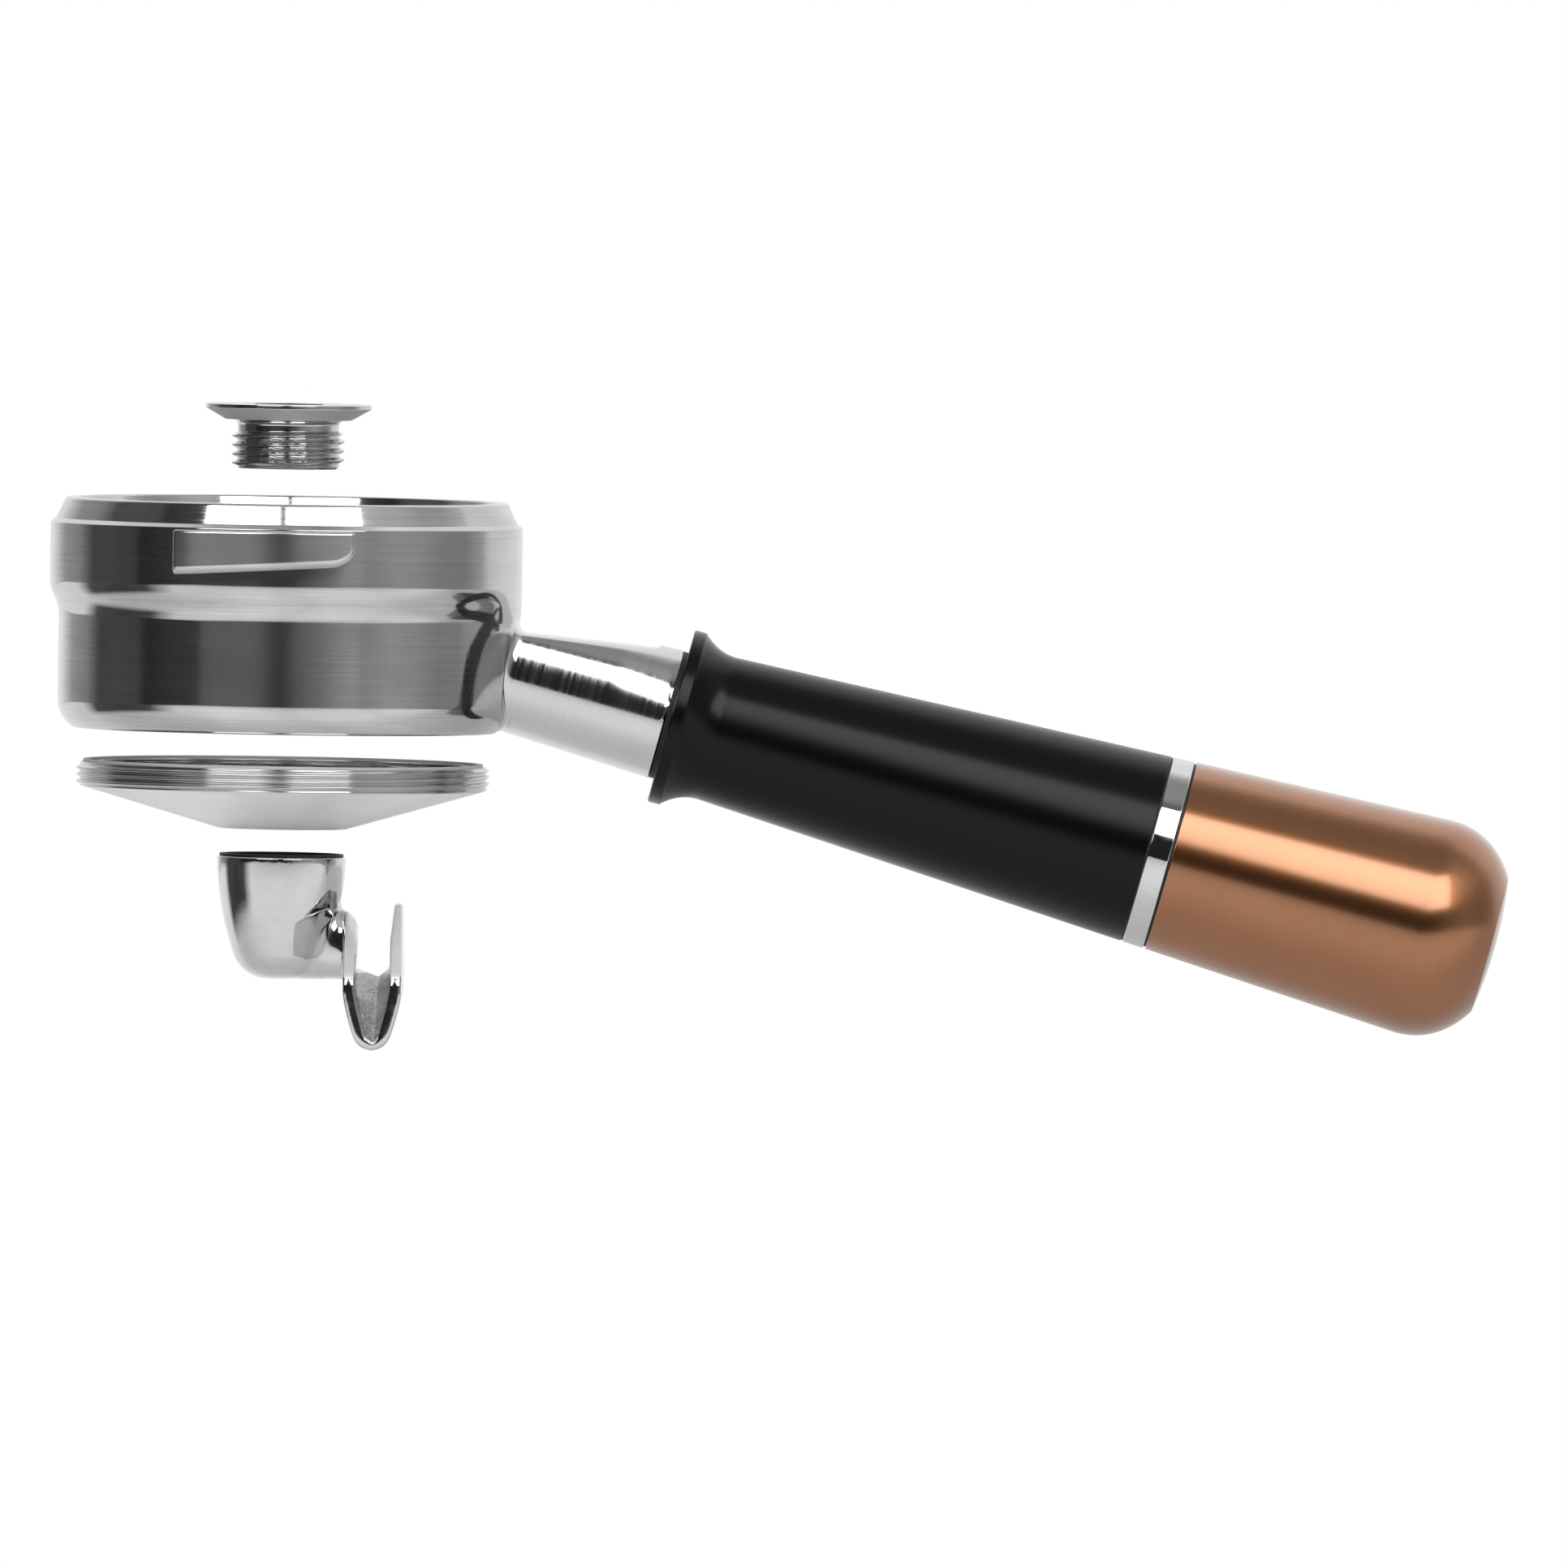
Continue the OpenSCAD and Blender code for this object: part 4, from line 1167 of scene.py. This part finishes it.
@dataclass
class Spout:
    """Cast double spout: a cup, an arm and an open trough that falls from a ridge to two outlets."""

    top_z: float = -52.6
    cup_h: float = 18.2
    rim_r: float = 9.55
    # How the cup narrows downwards, with the depth and with its square
    taper: Point = (0.0163, 0.01124)
    # Radius and depth of the washer's seat
    seat: Point = (9.2, 0.5)
    thread_r: float = 8.4
    thread_h: float = 7.2
    funnel_r: Point = (5.95, 4.9)
    funnel_h: float = 0.5
    beyond: float = 1.0
    corner_r: float = 5.4
    corner_h: float = 3.7
    corner_in: float = 0.946
    corner_turn: float = -19.0
    arm_r: float = 5.3
    arm_half: float = 4.7
    arm_corner_r: float = 4.2
    arm_short: float = 2.9
    passage_r: float = 3.2
    trough_x: float = 13.85
    outlet_y: float = 20.0
    # Tops of the trough's walls in its middle, on the arm's side and on the far one
    crown: Point = (-7.6, -6.8)
    # Share of the half length from which the walls fall, and the power of that curve
    crown_fall: Point = (0.2, 1.15)
    ridge: float = -17.7
    outlet_top: float = -17.4
    tip: float = -28.6
    tip_floor: float = 1.6
    floor_power: float = 1.4
    floor_h: float = 1.7
    bend_r: float = 2.2
    edge_r: float = 0.4
    # Height of the channel's foot above its floor on both sides, and its loss at the outlets
    cheek: Point = (1.3, 1.9)
    cheek_fade: float = 0.3
    lip_r: float = 1.3
    # How far the outlet's rounded lip pulls the underside up and the sides in
    lip_pull: Point = (1.1, 0.22)
    valley: float = 0.85
    valley_fade: float = 0.6
    shoulder_r: float = 3.4
    shoulder_x: float = -2.3
    # Places along the trough where the shoulder is full and gone
    shoulder_y: Point = (4.5, 13.0)
    # Where the arm leaves the cup: its place in X, its half sizes, and what stays out of it, which is
    # a radius in the cup and a clearance round the passage
    root_at: float = 6.6
    root_half: Corner = (3.0, 7.5, 8.0)
    root_clear: Point = (6.4, 0.5)
    root_rounds: int = 300
    root_fade: float = 4.0
    # The rough channel: margin at its sides, height above the ridge, and least Z of its normals
    channel: Corner = (0.1, 0.6, 0.1)
    edge_band: Point = (2.4, 4.6)
    # The linished edges: start along the trough, margin below the outlets, and least Z of their normals
    edge_place: Corner = (2.0, 0.6, 0.5)
    voxel: float = 0.17
    rounds: int = 14
    target_faces: int = 150000
    # Depth below the cup's rim, then half of the trough's outer width
    outside: tuple[Point, ...] = (
        (-28.6, 1.5), (-27.6, 2.15), (-25.6, 2.95), (-23.3, 3.65), (-21.0, 4.2), (-19.6, 4.4), (-7.0, 4.25),
    )
    # Depth below the cup's rim, then half of the channel's width on the arm's side and on the far one
    inside: tuple[Corner, ...] = (
        (-27.0, 0.75, 0.75), (-25.0, 1.2, 1.2), (-22.0, 2.0, 2.0),
        (-19.0, 2.6, 2.6), (-11.5, 2.4, 2.5), (-7.0, 2.3, 2.95),
    )

    def outer_half(self, z: float) -> float:
        """Half of the trough's outer width at a depth below the cup's rim."""
        return float(np.interp(z, *zip(*self.outside)))

    def inner_half(self, z: float, sign: int = -1) -> float:
        """Half of the channel's width at a depth, on the arm's side (-1) or the far one (1)."""
        depths, arm_side, far_side = zip(*self.inside)
        return float(np.interp(z, depths, arm_side if sign < 0 else far_side))

    def shoulder(self, x: float) -> float:
        """How far the rounded shoulder from the arm into the channel lies below its top at a place in X."""
        over = clamp((x - self.shoulder_x + self.shoulder_r) / self.shoulder_r)
        return self.shoulder_r * (1 - math.sqrt(1 - over * over))

    def section(self, y: float) -> list[Vector]:
        """One closed section across the trough.

        Args:
            y: place along the trough, from its middle.

        Returns:
            Points round the section in millimetres, with the first repeated at the end.
        """
        reach, edge = abs(y) / self.outlet_y, self.edge_r
        start, power = self.crown_fall
        slope = max(0.0, (reach - start) / (1 - start)) ** power
        turn = max(0.0, (abs(y) - self.outlet_y + self.lip_r) / self.lip_r)
        turned_in = self.lip_r * (1 - math.sqrt(max(0.0, 1 - turn * turn)))
        floor = self.ridge + (self.tip + self.tip_floor - self.ridge) * reach**self.floor_power
        under = floor - self.floor_h + self.lip_pull[0] * turned_in
        full, none = self.shoulder_y
        near = ease((none - abs(y)) / (none - full))
        loop: list[Point] = []
        quarter = np.linspace(0, math.pi / 2, 5)
        for sign, crown, rise in zip((-1, 1), self.crown, self.cheek):
            top = crown + (self.outlet_top - crown) * slope - turned_in
            side: list[Point] = []
            bend = min(self.bend_r, self.outer_half(under))
            for z in np.linspace(under, top - edge, 34):
                lift = max(0.0, under + bend - z)
                half = self.outer_half(z) - bend + math.sqrt(max(0.0, bend * bend - lift * lift))
                side.append((half - self.lip_pull[1] * turned_in, float(z)))
            wide, slim = side[-1][0], self.inner_half(top, sign)
            over = [(wide - edge * (1 - math.cos(t)), top - edge * (1 - math.sin(t))) for t in quarter[1:]]
            over += [(slim + edge * (1 - math.sin(t)), top - edge * (1 - math.cos(t))) for t in quarter]
            if sign < 0:
                over = [(x, z - near * self.shoulder(-x)) for x, z in over]
            side += over
            foot = floor + rise * (1 - self.cheek_fade * reach)
            side += [(self.inner_half(z, sign), float(z)) for z in np.linspace(side[-1][1], foot, 20)[1:]]
            wide, valley = side[-1][0], sign * self.valley * (1 - self.valley_fade * reach)
            side += [(wide + (valley - wide) * k / 5, foot + (floor - foot) * k / 5) for k in range(1, 6)]
            loop += [(-x, z) for x, z in side] if sign < 0 else side[::-1][1:]
        loop.append(loop[0])
        return [Vector((self.trough_x + x, y, self.top_z + z)) for x, z in loop]

    def trough(self) -> Object:
        """Lofts the trough from one outlet to the other.

        Returns:
            The trough.
        """
        ends = self.outlet_y - self.lip_r * (1 - np.sin(np.linspace(0, math.pi / 2, 8)))
        middle = np.linspace(-self.outlet_y + self.lip_r, self.outlet_y - self.lip_r, 61)[1:-1]
        return loft("trough", [self.section(float(y)) for y in [*-ends[::-1], *middle, *ends]], capped=True)

    def cup(self) -> Object:
        """Turns the tapered cup as a solid.

        Returns:
            The cup.
        """
        foot, r = -self.cup_h, self.corner_r
        first, second = self.taper
        heights = np.linspace(-0.3, foot + self.corner_h, 30)
        curve = [(self.rim_r + first * z - second * z * z, float(z)) for z in heights]
        # The rim's outer edge is broken by two tenths
        outline = [(0.0, 0.0), (self.rim_r - 0.2, 0.0), (self.rim_r - 0.06, -0.07)] + curve
        corner = bow(curve[-1][0] - self.corner_in * r, foot + r, r, self.corner_turn, -90, 16)
        outline += [p[:2] for p in corner] + [(0.0, foot)]
        return turned("cup", [(r, z + self.top_z) for r, z in outline], segments=144)

    def arm(self) -> Object:
        """Lofts the arm from the cup to the trough: upright sides with rounded top and bottom.

        Returns:
            The arm.
        """
        foot, top, r = -self.cup_h, -self.cup_h + 2 * self.arm_r, self.arm_corner_r
        wide = self.arm_half - r
        ring: list[Point] = []
        upper, lower = top - r, foot + r
        for start, y, z in ((0, wide, upper), (90, -wide, upper), (180, -wide, lower), (270, wide, lower)):
            ring += [p[:2] for p in bow(y, z, r, start, start + 90, 10)]
        ring.append(ring[0])
        rows = []
        for x in np.linspace(0, self.trough_x - self.arm_short, 28):
            fall = self.shoulder(float(x) - self.trough_x) / (top - foot)
            rows.append([Vector((float(x), y, z - (z - foot) * fall + self.top_z)) for y, z in ring])
        return loft("arm", rows, capped=True)

    def passage(self) -> Object:
        """Lays a round bar along X at the arm's level, as long as the passage from cup to trough.

        Returns:
            The bar.
        """
        level = self.top_z - self.cup_h + self.arm_r
        bar = add_object(
            bpy.ops.mesh.primitive_cylinder_add,
            vertices=96,
            radius=self.passage_r * MM,
            depth=self.trough_x * MM,
            location=(self.trough_x / 2 * MM, 0, level * MM),
            rotation=(0, math.pi / 2, 0),
        )
        return settle(bar)

    def hollow(self) -> Object:
        """Turns the cup's inside: washer seat, threaded bore and the taper below.

        Returns:
            The solid to cut away.
        """
        level = -self.cup_h + self.arm_r - self.passage_r
        seat_r, seat_h = self.seat
        outline = [(0, self.beyond), (seat_r, self.beyond), (seat_r, -seat_h), (self.thread_r, -seat_h)]
        outline += [(self.thread_r, -self.thread_h), (self.funnel_r[0], -self.thread_h - self.funnel_h)]
        outline += [(self.funnel_r[1], level), (0, level)]
        return turned("cup_hollow", [(r, z + self.top_z) for r, z in outline], segments=96)

    def blend_arm(self, piece: Object) -> None:
        """Melts the arm into the cup with a wide hollow, as in a casting.

        Args:
            piece: joined casting.
        """
        group = piece.vertex_groups.new(name="arm_root")
        long, broad, tall = self.root_half
        cup_clear, passage_clear = self.root_clear
        for vertex in piece.data.vertices:
            x, y, z = vertex.co / MM
            up = z - self.top_z + self.cup_h - self.arm_r
            near = max(abs(x - self.root_at) / long, abs(y) / broad, abs(up) / tall)
            inside = math.hypot(x, y) < cup_clear or math.hypot(y, up) < self.passage_r + passage_clear
            if near < 1 and not inside:
                group.add([vertex.index], min(1.0, (1 - near) * self.root_fade), "REPLACE")
        modify(piece, "SMOOTH", factor=0.5, iterations=self.root_rounds, vertex_group="arm_root")
        piece.vertex_groups.clear()

    def finish_of(self, face: Any) -> int:
        """Number of a face's finish: 1 in the rough channel, 2 on the linished edges of the trough.

        Args:
            face: face of the casting.

        Returns:
            The number, 0 for the polished rest.
        """
        x, y, z = face.center / MM
        offset, depth = abs(x - self.trough_x), z - self.top_z
        side, rise, facing = self.channel
        if offset < self.inner_half(depth) + side and depth < self.ridge + rise and face.normal.z > facing:
            return 1
        start, fall, facing = self.edge_place
        across = self.edge_band[0] < offset < self.edge_band[1]
        on_edge = across and abs(y) > start and depth > self.outlet_top - fall and face.normal.z > facing
        return 2 if on_edge else 0

    def build(self) -> None:
        """Joins cup, arm and trough as one casting with soft edges, paints it and hands it over."""
        piece = self.cup()
        combine(piece, self.trough(), "UNION")
        combine(piece, self.arm(), "UNION")
        combine(piece, self.hollow(), "DIFFERENCE")
        combine(piece, self.passage(), "DIFFERENCE")
        piece.name = piece.data.name = "double_spout"
        modify(piece, "REMESH", mode="VOXEL", voxel_size=self.voxel * MM, use_smooth_shade=True)
        modify(piece, "SMOOTH", factor=0.5, iterations=self.rounds)
        self.blend_arm(piece)
        faces = 2 * len(piece.data.polygons)
        modify(piece, "DECIMATE", ratio=min(1.0, self.target_faces / faces))
        paint(piece, [CAST_STEEL, ROUGH_CAST, LINISHED_CAST], self.finish_of)
        smooth(piece, degrees=60)
        hand_over(piece, "spout", "spout_casting", CAST_STEEL)


@dataclass
class Grip:
    """Grip on the neck: black sleeve with its collar, polished ring and copper-coloured cap."""

    sleeve: Point = (59.2, 132.1)
    collar_r: float = 13.15
    collar_end: float = 61.1
    flare_power: float = 2.2
    flare_steps: int = 24
    taper_at: float = 66.3
    taper_r: float = 10.85
    taper: float = 2.845
    ring: Point = (132.35, 135.55)
    cap: Point = (135.9, 185.7)
    cap_round: float = 10.6
    # How strongly the cap's rounding leaves its side and arrives at its face
    cap_pull: Point = (5.2, 3.9)
    cap_face_r: float = 10.3
    cap_dome: float = 0.85
    rod_r: float = 5.3
    barrel_r: float = 8.25
    barrel_end: float = 98.0
    weight_r: float = 10.0
    weight_end: float = 172.0
    axis: GripAxis = GripAxis()

    def radius(self, station: float) -> float:
        """Radius of the tapered grip at a station."""
        return self.taper_r + (station - self.taper_at) * math.tan(math.radians(self.taper))

    def sleeve_outline(self) -> list[Point]:
        """Outline of the sleeve with its collar and hollow flare.

        Returns:
            Radius and station of each point.
        """
        start, end = self.sleeve
        flare: list[Corner] = []
        for i in range(1, self.flare_steps):
            k = i / self.flare_steps
            r = self.taper_r + (self.collar_r - 0.15 - self.taper_r) * (1 - k) ** self.flare_power
            flare.append((r, self.collar_end + (self.taper_at - self.collar_end) * k, 0.0))
        return soften(
            [(self.barrel_r, start, 0.2), (self.collar_r, start, 0.3)]
            + [(self.collar_r, self.collar_end - 0.1, 0.25)]
            + flare
            + [(self.taper_r, self.taper_at, 0.0), (self.radius(end), end, 0.12), (self.rod_r, end, 0.2)]
            + [(self.rod_r, self.barrel_end, 0.1), (self.barrel_r, self.barrel_end, 0.1)]
        )

    def ring_outline(self) -> list[Point]:
        """Outline of the polished trim ring.

        Returns:
            Radius and station of each point.
        """
        start, end = self.ring
        return soften(
            [(self.rod_r, start, 0.1), (self.radius(start), start, 0.12)]
            + [(self.radius(end), end, 0.12), (self.rod_r, end, 0.1)]
        )

    def cap_outline(self) -> list[Point]:
        """Outline of the cap with its rounded shoulder, domed face and bore for the weight.

        Returns:
            Radius and station of each point.
        """
        start, end = self.cap
        face_r, dome_h = self.cap_face_r, self.cap_dome
        shoulder = end - dome_h - self.cap_round
        side = self.radius(shoulder)
        drop = side - face_r
        big = (self.cap_round**2 + drop**2) / 2 / drop
        lean, sweep = math.radians(self.taper), math.asin(self.cap_round / big)
        first, last = np.array((side, shoulder)), np.array((face_r, end - dome_h))
        leave = first + self.cap_pull[0] * np.array((math.sin(lean), math.cos(lean)))
        arrive = last + self.cap_pull[1] * np.array((math.sin(sweep), -math.cos(sweep)))
        curve: list[Corner] = []
        for k in np.linspace(0, 1, 33)[:-1]:
            ends = first * (1 - k) ** 3 + last * k**3
            point = ends + leave * 3 * k * (1 - k) ** 2 + arrive * 3 * k * k * (1 - k)
            curve.append((float(point[0]), float(point[1]), 0.0))
        dome = (face_r**2 + dome_h**2) / 2 / dome_h
        spread = math.degrees(math.asin(face_r / dome))
        return soften(
            [(0, self.weight_end, 0), (self.weight_r, self.weight_end, 0.3), (self.weight_r, start, 0.2)]
            + [(self.radius(start), start, 0.15)]
            + curve
            + [(face_r, end - dome_h, 0.25)]
            + bow(0, end - dome, dome, 90 - spread, 90, 12)[1:],
            closed=False,
        )

    def build(self) -> None:
        """Turns the three pieces of the grip, lays them on its axis and hands them over."""
        for name, outline, body, node, finish in (
            ("black_sleeve", self.sleeve_outline(), "grip", "grip_sleeve", BLACK_ANODISED),
            ("polished_ring", self.ring_outline(), "grip", "trim_ring", MIRROR_STEEL),
            ("copper_cap", self.cap_outline(), "cap", "end_cap", COPPER_ANODISED),
        ):
            hand_over(smooth(self.axis.lay(turned(name, outline))), body, node, finish)


class InnerParts:
    """Seals and threaded parts that keep their solids and only take a finish."""

    finishes: dict[str, Finish] = {
        "base_gasket": PALE_SILICONE,
        "spout_washer": SEAL_RUBBER,
        "collar_washer": SEAL_RUBBER,
        "pilot_seal": SEAL_RUBBER,
        "front_gasket": SEAL_RUBBER,
        "rear_gasket": SEAL_RUBBER,
        "neck_stud": PLAIN_STEEL,
        "threaded_barrel": PLAIN_STEEL,
        "barrel_dowel": SPRING_WIRE,
        "tie_rod": PLAIN_STEEL,
        "balance_weight": PLAIN_STEEL,
        "weight_clip": SPRING_WIRE,
    }

    def dress(self, nodes: dict[str, Object]) -> None:
        """Gives each solid its finish.

        Args:
            nodes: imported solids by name.
        """
        for name, finish in self.finishes.items():
            paint(nodes[name], [finish])
            LOG.info("%s: %s", name, finish.name)


WHITE = (1.0, 1.0, 1.0, 1.0)
# Painted shade of the table as the metal sees it: metres along Y, away from the camera, and brightness
TABLE_SHADE: list[Point] = [
    (-2.2, 0.6), (-1.4, 0.75), (-0.9, 0.9), (-0.5, 0.97), (-0.3, 0.95), (-0.2, 0.85), (-0.1, 0.72),
    (0.0, 0.66), (0.1, 0.7), (0.2, 0.85), (0.3, 0.94), (0.9, 0.97), (2.2, 0.97),
]
# The same to the right of the head, painted darker behind the grip
GRIP_SHADE = TABLE_SHADE[:8] + [(0.1, 0.58), (0.2, 0.58), (0.4, 0.58), (0.9, 0.6), (2.2, 0.7)]
# Painted dark patch on the table's left: bearing in degrees from the camera's side, and how much is there
PAINTED_DARK_PATCH: list[Point] = [(-124, 0), (-112, 1), (-72, 1), (-56, 0)]
# The room's walls: bearing in degrees from the camera's side, and brightness
WALLS: list[Point] = [
    (-180, 0.95), (-160, 1.0), (-150, 0.78), (-138, 0.4), (-121, 0.28), (-115, 0.16), (-109, 0.06),
    (-96, 0.075), (-80, 0.06), (-75, 0.018), (-52, 0.02), (-27, 0.025), (-4, 0.02), (8, 0.03),
    (19, 0.11), (31, 0.24), (43, 0.31), (56, 0.39), (70, 0.37), (85, 0.28), (100, 0.29), (112, 0.46),
    (119, 0.83), (137, 0.94), (160, 1.0), (180, 0.95),
]


@dataclass
class Studio:
    """White table, white surround, two soft boxes over the front and a dim room behind the camera."""

    floor_z: float = -250.0
    floor_half: float = 2200.0
    floor_tint: str = "#efefee"
    # Metres to the right of the head over which the table's shade changes
    grip_side: Point = (0.02, 0.08)
    # Metres from the middle over which the painted dark patch sets in, and how much it takes away
    dark_patch_span: Point = (0.4, 0.7)
    dark_patch_depth: float = 0.92
    # Z of the directions between which the walls brighten, and how much
    wall_lift: Corner = (0.35, 0.6, 1.6)
    # Z of the directions between which the ceiling sets in, and its brightness
    ceiling: Corner = (0.85, 0.98, 0.32)
    box_brightness: float = 3.9
    box_distance: float = 1400.0
    distance: float = 7000.0
    elevation: float = 1.55
    roll: float = 0.95
    target: Corner = (74.1, 0.0, -40.8)
    frame_width: float = 231.8
    sensor: float = 36.0
    # Nearest and furthest distance that the camera sees, in metres
    clip: Point = (0.1, 60.0)

    def table_finish(self) -> Material:
        """Builds the pale table's material: white for the camera, and for the metal a glow with painted
        studio shade.

        Returns:
            The material.
        """
        material = bpy.data.materials.new("white_painted_table")
        material.use_nodes = True
        tree = material.node_tree
        tree.nodes.clear()
        path = add_node(tree, "LightPath").outputs
        axes = add_node(tree, "SeparateXYZ", {0: add_node(tree, "TexCoord").outputs["Object"]}).outputs
        half = self.floor_half * MM
        span = {"Value": axes["Y"], "From Min": -half, "From Max": half}
        depth = add_node(tree, "MapRange", span).outputs[0]
        by_head, by_grip = (add_node(tree, "ValToRGB", {0: depth}) for _ in range(2))
        fill_ramp(by_head, TABLE_SHADE, -half, half)
        fill_ramp(by_grip, GRIP_SHADE, -half, half)
        start, end = self.grip_side
        span = {"Value": axes["X"], "From Min": start, "From Max": end}
        share = add_node(tree, "MapRange", span, interpolation_type="SMOOTHSTEP").outputs[0]
        both = {0: share, 6: by_head.outputs[0], 7: by_grip.outputs[0]}
        shade = add_node(tree, "Mix", both, data_type="RGBA").outputs[2]
        # Painted shade: a dark patch that dims the table's glow on the left, away from the middle
        dark_patch = add_node(tree, "ValToRGB", {0: bearing_share(tree, axes)})
        fill_ramp(dark_patch, PAINTED_DARK_PATCH, -180, 180)
        flat = add_node(tree, "CombineXYZ", {"X": axes["X"], "Y": axes["Y"]}).outputs[0]
        away = add_node(tree, "VectorMath", {0: flat}, operation="LENGTH").outputs[1]
        start, end = self.dark_patch_span
        span = {"Value": away, "From Min": start, "From Max": end, "To Min": 0.0, "To Max": -self.dark_patch_depth}
        far = add_node(tree, "MapRange", span, interpolation_type="SMOOTHSTEP").outputs[0]
        terms = {0: dark_patch.outputs[0], 1: far, 2: 1.0}
        painted_dimming = add_node(tree, "Math", terms, operation="MULTIPLY_ADD").outputs[0]
        dimmed = add_node(tree, "VectorMath", {0: shade, "Scale": painted_dimming}, operation="SCALE").outputs[0]
        views = {0: path["Is Camera Ray"], 6: dimmed, 7: WHITE}
        seen = add_node(tree, "Mix", views, data_type="RGBA").outputs[2]
        # The table glows for the metal with painted shade, instead of being lit by the lamps
        glow = add_node(tree, "Emission", {"Color": seen, "Strength": 1.0}).outputs[0]
        enamel = add_node(tree, "BsdfDiffuse", {"Color": linear(self.floor_tint)}).outputs[0]
        direct = path["Is Camera Ray"]
        for ray in ("Is Glossy Ray", "Is Transmission Ray"):
            direct = add_node(tree, "Math", {0: direct, 1: path[ray]}, operation="MAXIMUM").outputs[0]
        surface = add_node(tree, "MixShader", {0: direct, 1: enamel, 2: glow}).outputs[0]
        add_node(tree, "OutputMaterial", {"Surface": surface})
        return material

    def floor(self) -> None:
        """Lays the pale table, which the camera sees as white and the metal as a glow with painted shade."""
        size, level = 2 * self.floor_half * MM, self.floor_z * MM
        floor = settle(add_object(bpy.ops.mesh.primitive_plane_add, size=size, location=(0, 0, level)))
        floor.name = "table"
        floor.data.materials.append(self.table_finish())

    def surround(self) -> None:
        """Paints the world: white behind the object, a dim room with grey walls on the camera's side."""
        world = bpy.data.worlds.new("studio")
        bpy.context.scene.world = world
        world.use_nodes = True
        tree = world.node_tree
        tree.nodes.clear()
        axes = add_node(tree, "SeparateXYZ", {0: add_node(tree, "TexCoord").outputs["Generated"]}).outputs
        walls = add_node(tree, "ValToRGB", {0: bearing_share(tree, axes)})
        fill_ramp(walls, WALLS, -180, 180)
        start, end, most = self.wall_lift
        span = {"Value": axes["Z"], "From Min": start, "From Max": end, "To Min": 1.0, "To Max": most}
        rise = add_node(tree, "MapRange", span, interpolation_type="SMOOTHSTEP").outputs[0]
        lift = {0: walls.outputs[0], "Scale": rise}
        lifted = add_node(tree, "VectorMath", lift, operation="SCALE").outputs[0]
        capped = add_node(tree, "VectorMath", {0: lifted, 1: WHITE[:3]}, operation="MINIMUM").outputs[0]
        start, end, grey = self.ceiling
        span = {"Value": axes["Z"], "From Min": start, "From Max": end}
        high = add_node(tree, "MapRange", span, interpolation_type="SMOOTHSTEP").outputs[0]
        roof = {0: high, 6: capped, 7: (grey, grey, grey, 1.0)}
        room = add_node(tree, "Mix", roof, data_type="RGBA").outputs[2]
        dim = add_node(tree, "Background", {"Color": room, "Strength": 1.0}).outputs[0]
        white = add_node(tree, "Background", {"Color": WHITE, "Strength": 1.0}).outputs[0]
        camera_ray = add_node(tree, "LightPath").outputs["Is Camera Ray"]
        mixed = add_node(tree, "MixShader", {0: camera_ray, 1: dim, 2: white}).outputs[0]
        add_node(tree, "OutputWorld", {"Surface": mixed})

    def soft_box(self, name: str, bearing: float, height: float, wide: float, tall: float) -> None:
        """Hangs a soft box that faces the object.

        Args:
            name: name of the lamp.
            bearing: angle to the right of the camera's side, in degrees.
            height: angle above the horizon, in degrees.
            wide: angle that its width takes up.
            tall: angle that its height takes up.
        """
        a, e = math.radians(bearing), math.radians(height)
        out = Vector((math.sin(a) * math.cos(e), -math.cos(a) * math.cos(e), math.sin(e)))
        place = (Vector(self.target) + out * self.box_distance) * MM
        lamp = add_object(bpy.ops.object.light_add, type="AREA", location=place)
        lamp.name = name
        lamp.rotation_euler = (-out).to_track_quat("-Z", "Y").to_euler()
        lamp.data.shape = "RECTANGLE"
        reach = 2 * self.box_distance * MM
        lamp.data.size = reach * math.tan(math.radians(wide / 2))
        lamp.data.size_y = reach * math.tan(math.radians(tall / 2))
        lamp.data.energy = self.box_brightness * math.pi * lamp.data.size * lamp.data.size_y
        lamp.visible_camera = False

    def camera(self) -> None:
        """Sets the camera at the photograph's angle, with a long lens and a slight roll."""
        e, r = math.radians(self.elevation), math.radians(self.roll)
        ahead = Vector((0, math.cos(e), -math.sin(e)))
        level, upright = Vector((1, 0, 0)), Vector((0, math.sin(e), math.cos(e)))
        right = level * math.cos(r) + upright * math.sin(r)
        above = upright * math.cos(r) - level * math.sin(r)
        turn = Matrix((right, above, -ahead)).transposed().to_4x4()
        camera = add_object(bpy.ops.object.camera_add)
        camera.matrix_world = Matrix.Translation((Vector(self.target) - ahead * self.distance) * MM) @ turn
        camera.data.sensor_width = self.sensor
        camera.data.lens = self.sensor * self.distance / self.frame_width
        camera.data.clip_start, camera.data.clip_end = self.clip
        bpy.context.scene.camera = camera

    def build(self) -> None:
        """Sets up camera, table, surround and soft boxes."""
        bpy.context.scene.view_settings.view_transform = "Standard"
        self.camera()
        self.floor()
        self.surround()
        self.soft_box("left_soft_box", bearing=-31.5, height=36.6, wide=30.6, tall=36.0)
        self.soft_box("right_soft_box", bearing=20.3, height=36.6, wide=32.4, tall=36.0)


def main() -> None:
    """Builds studio and pieces in order, and reports each piece."""
    logging.basicConfig(level=logging.INFO, format="%(name)s: %(message)s")
    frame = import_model()
    Studio().build()
    for assembly in (Head(), Base(), SpoutScrew(), Spout(), Grip()):
        assembly.build()
    InnerParts().dress(frame["nodes"])


if __name__ == "__main__":
    main()
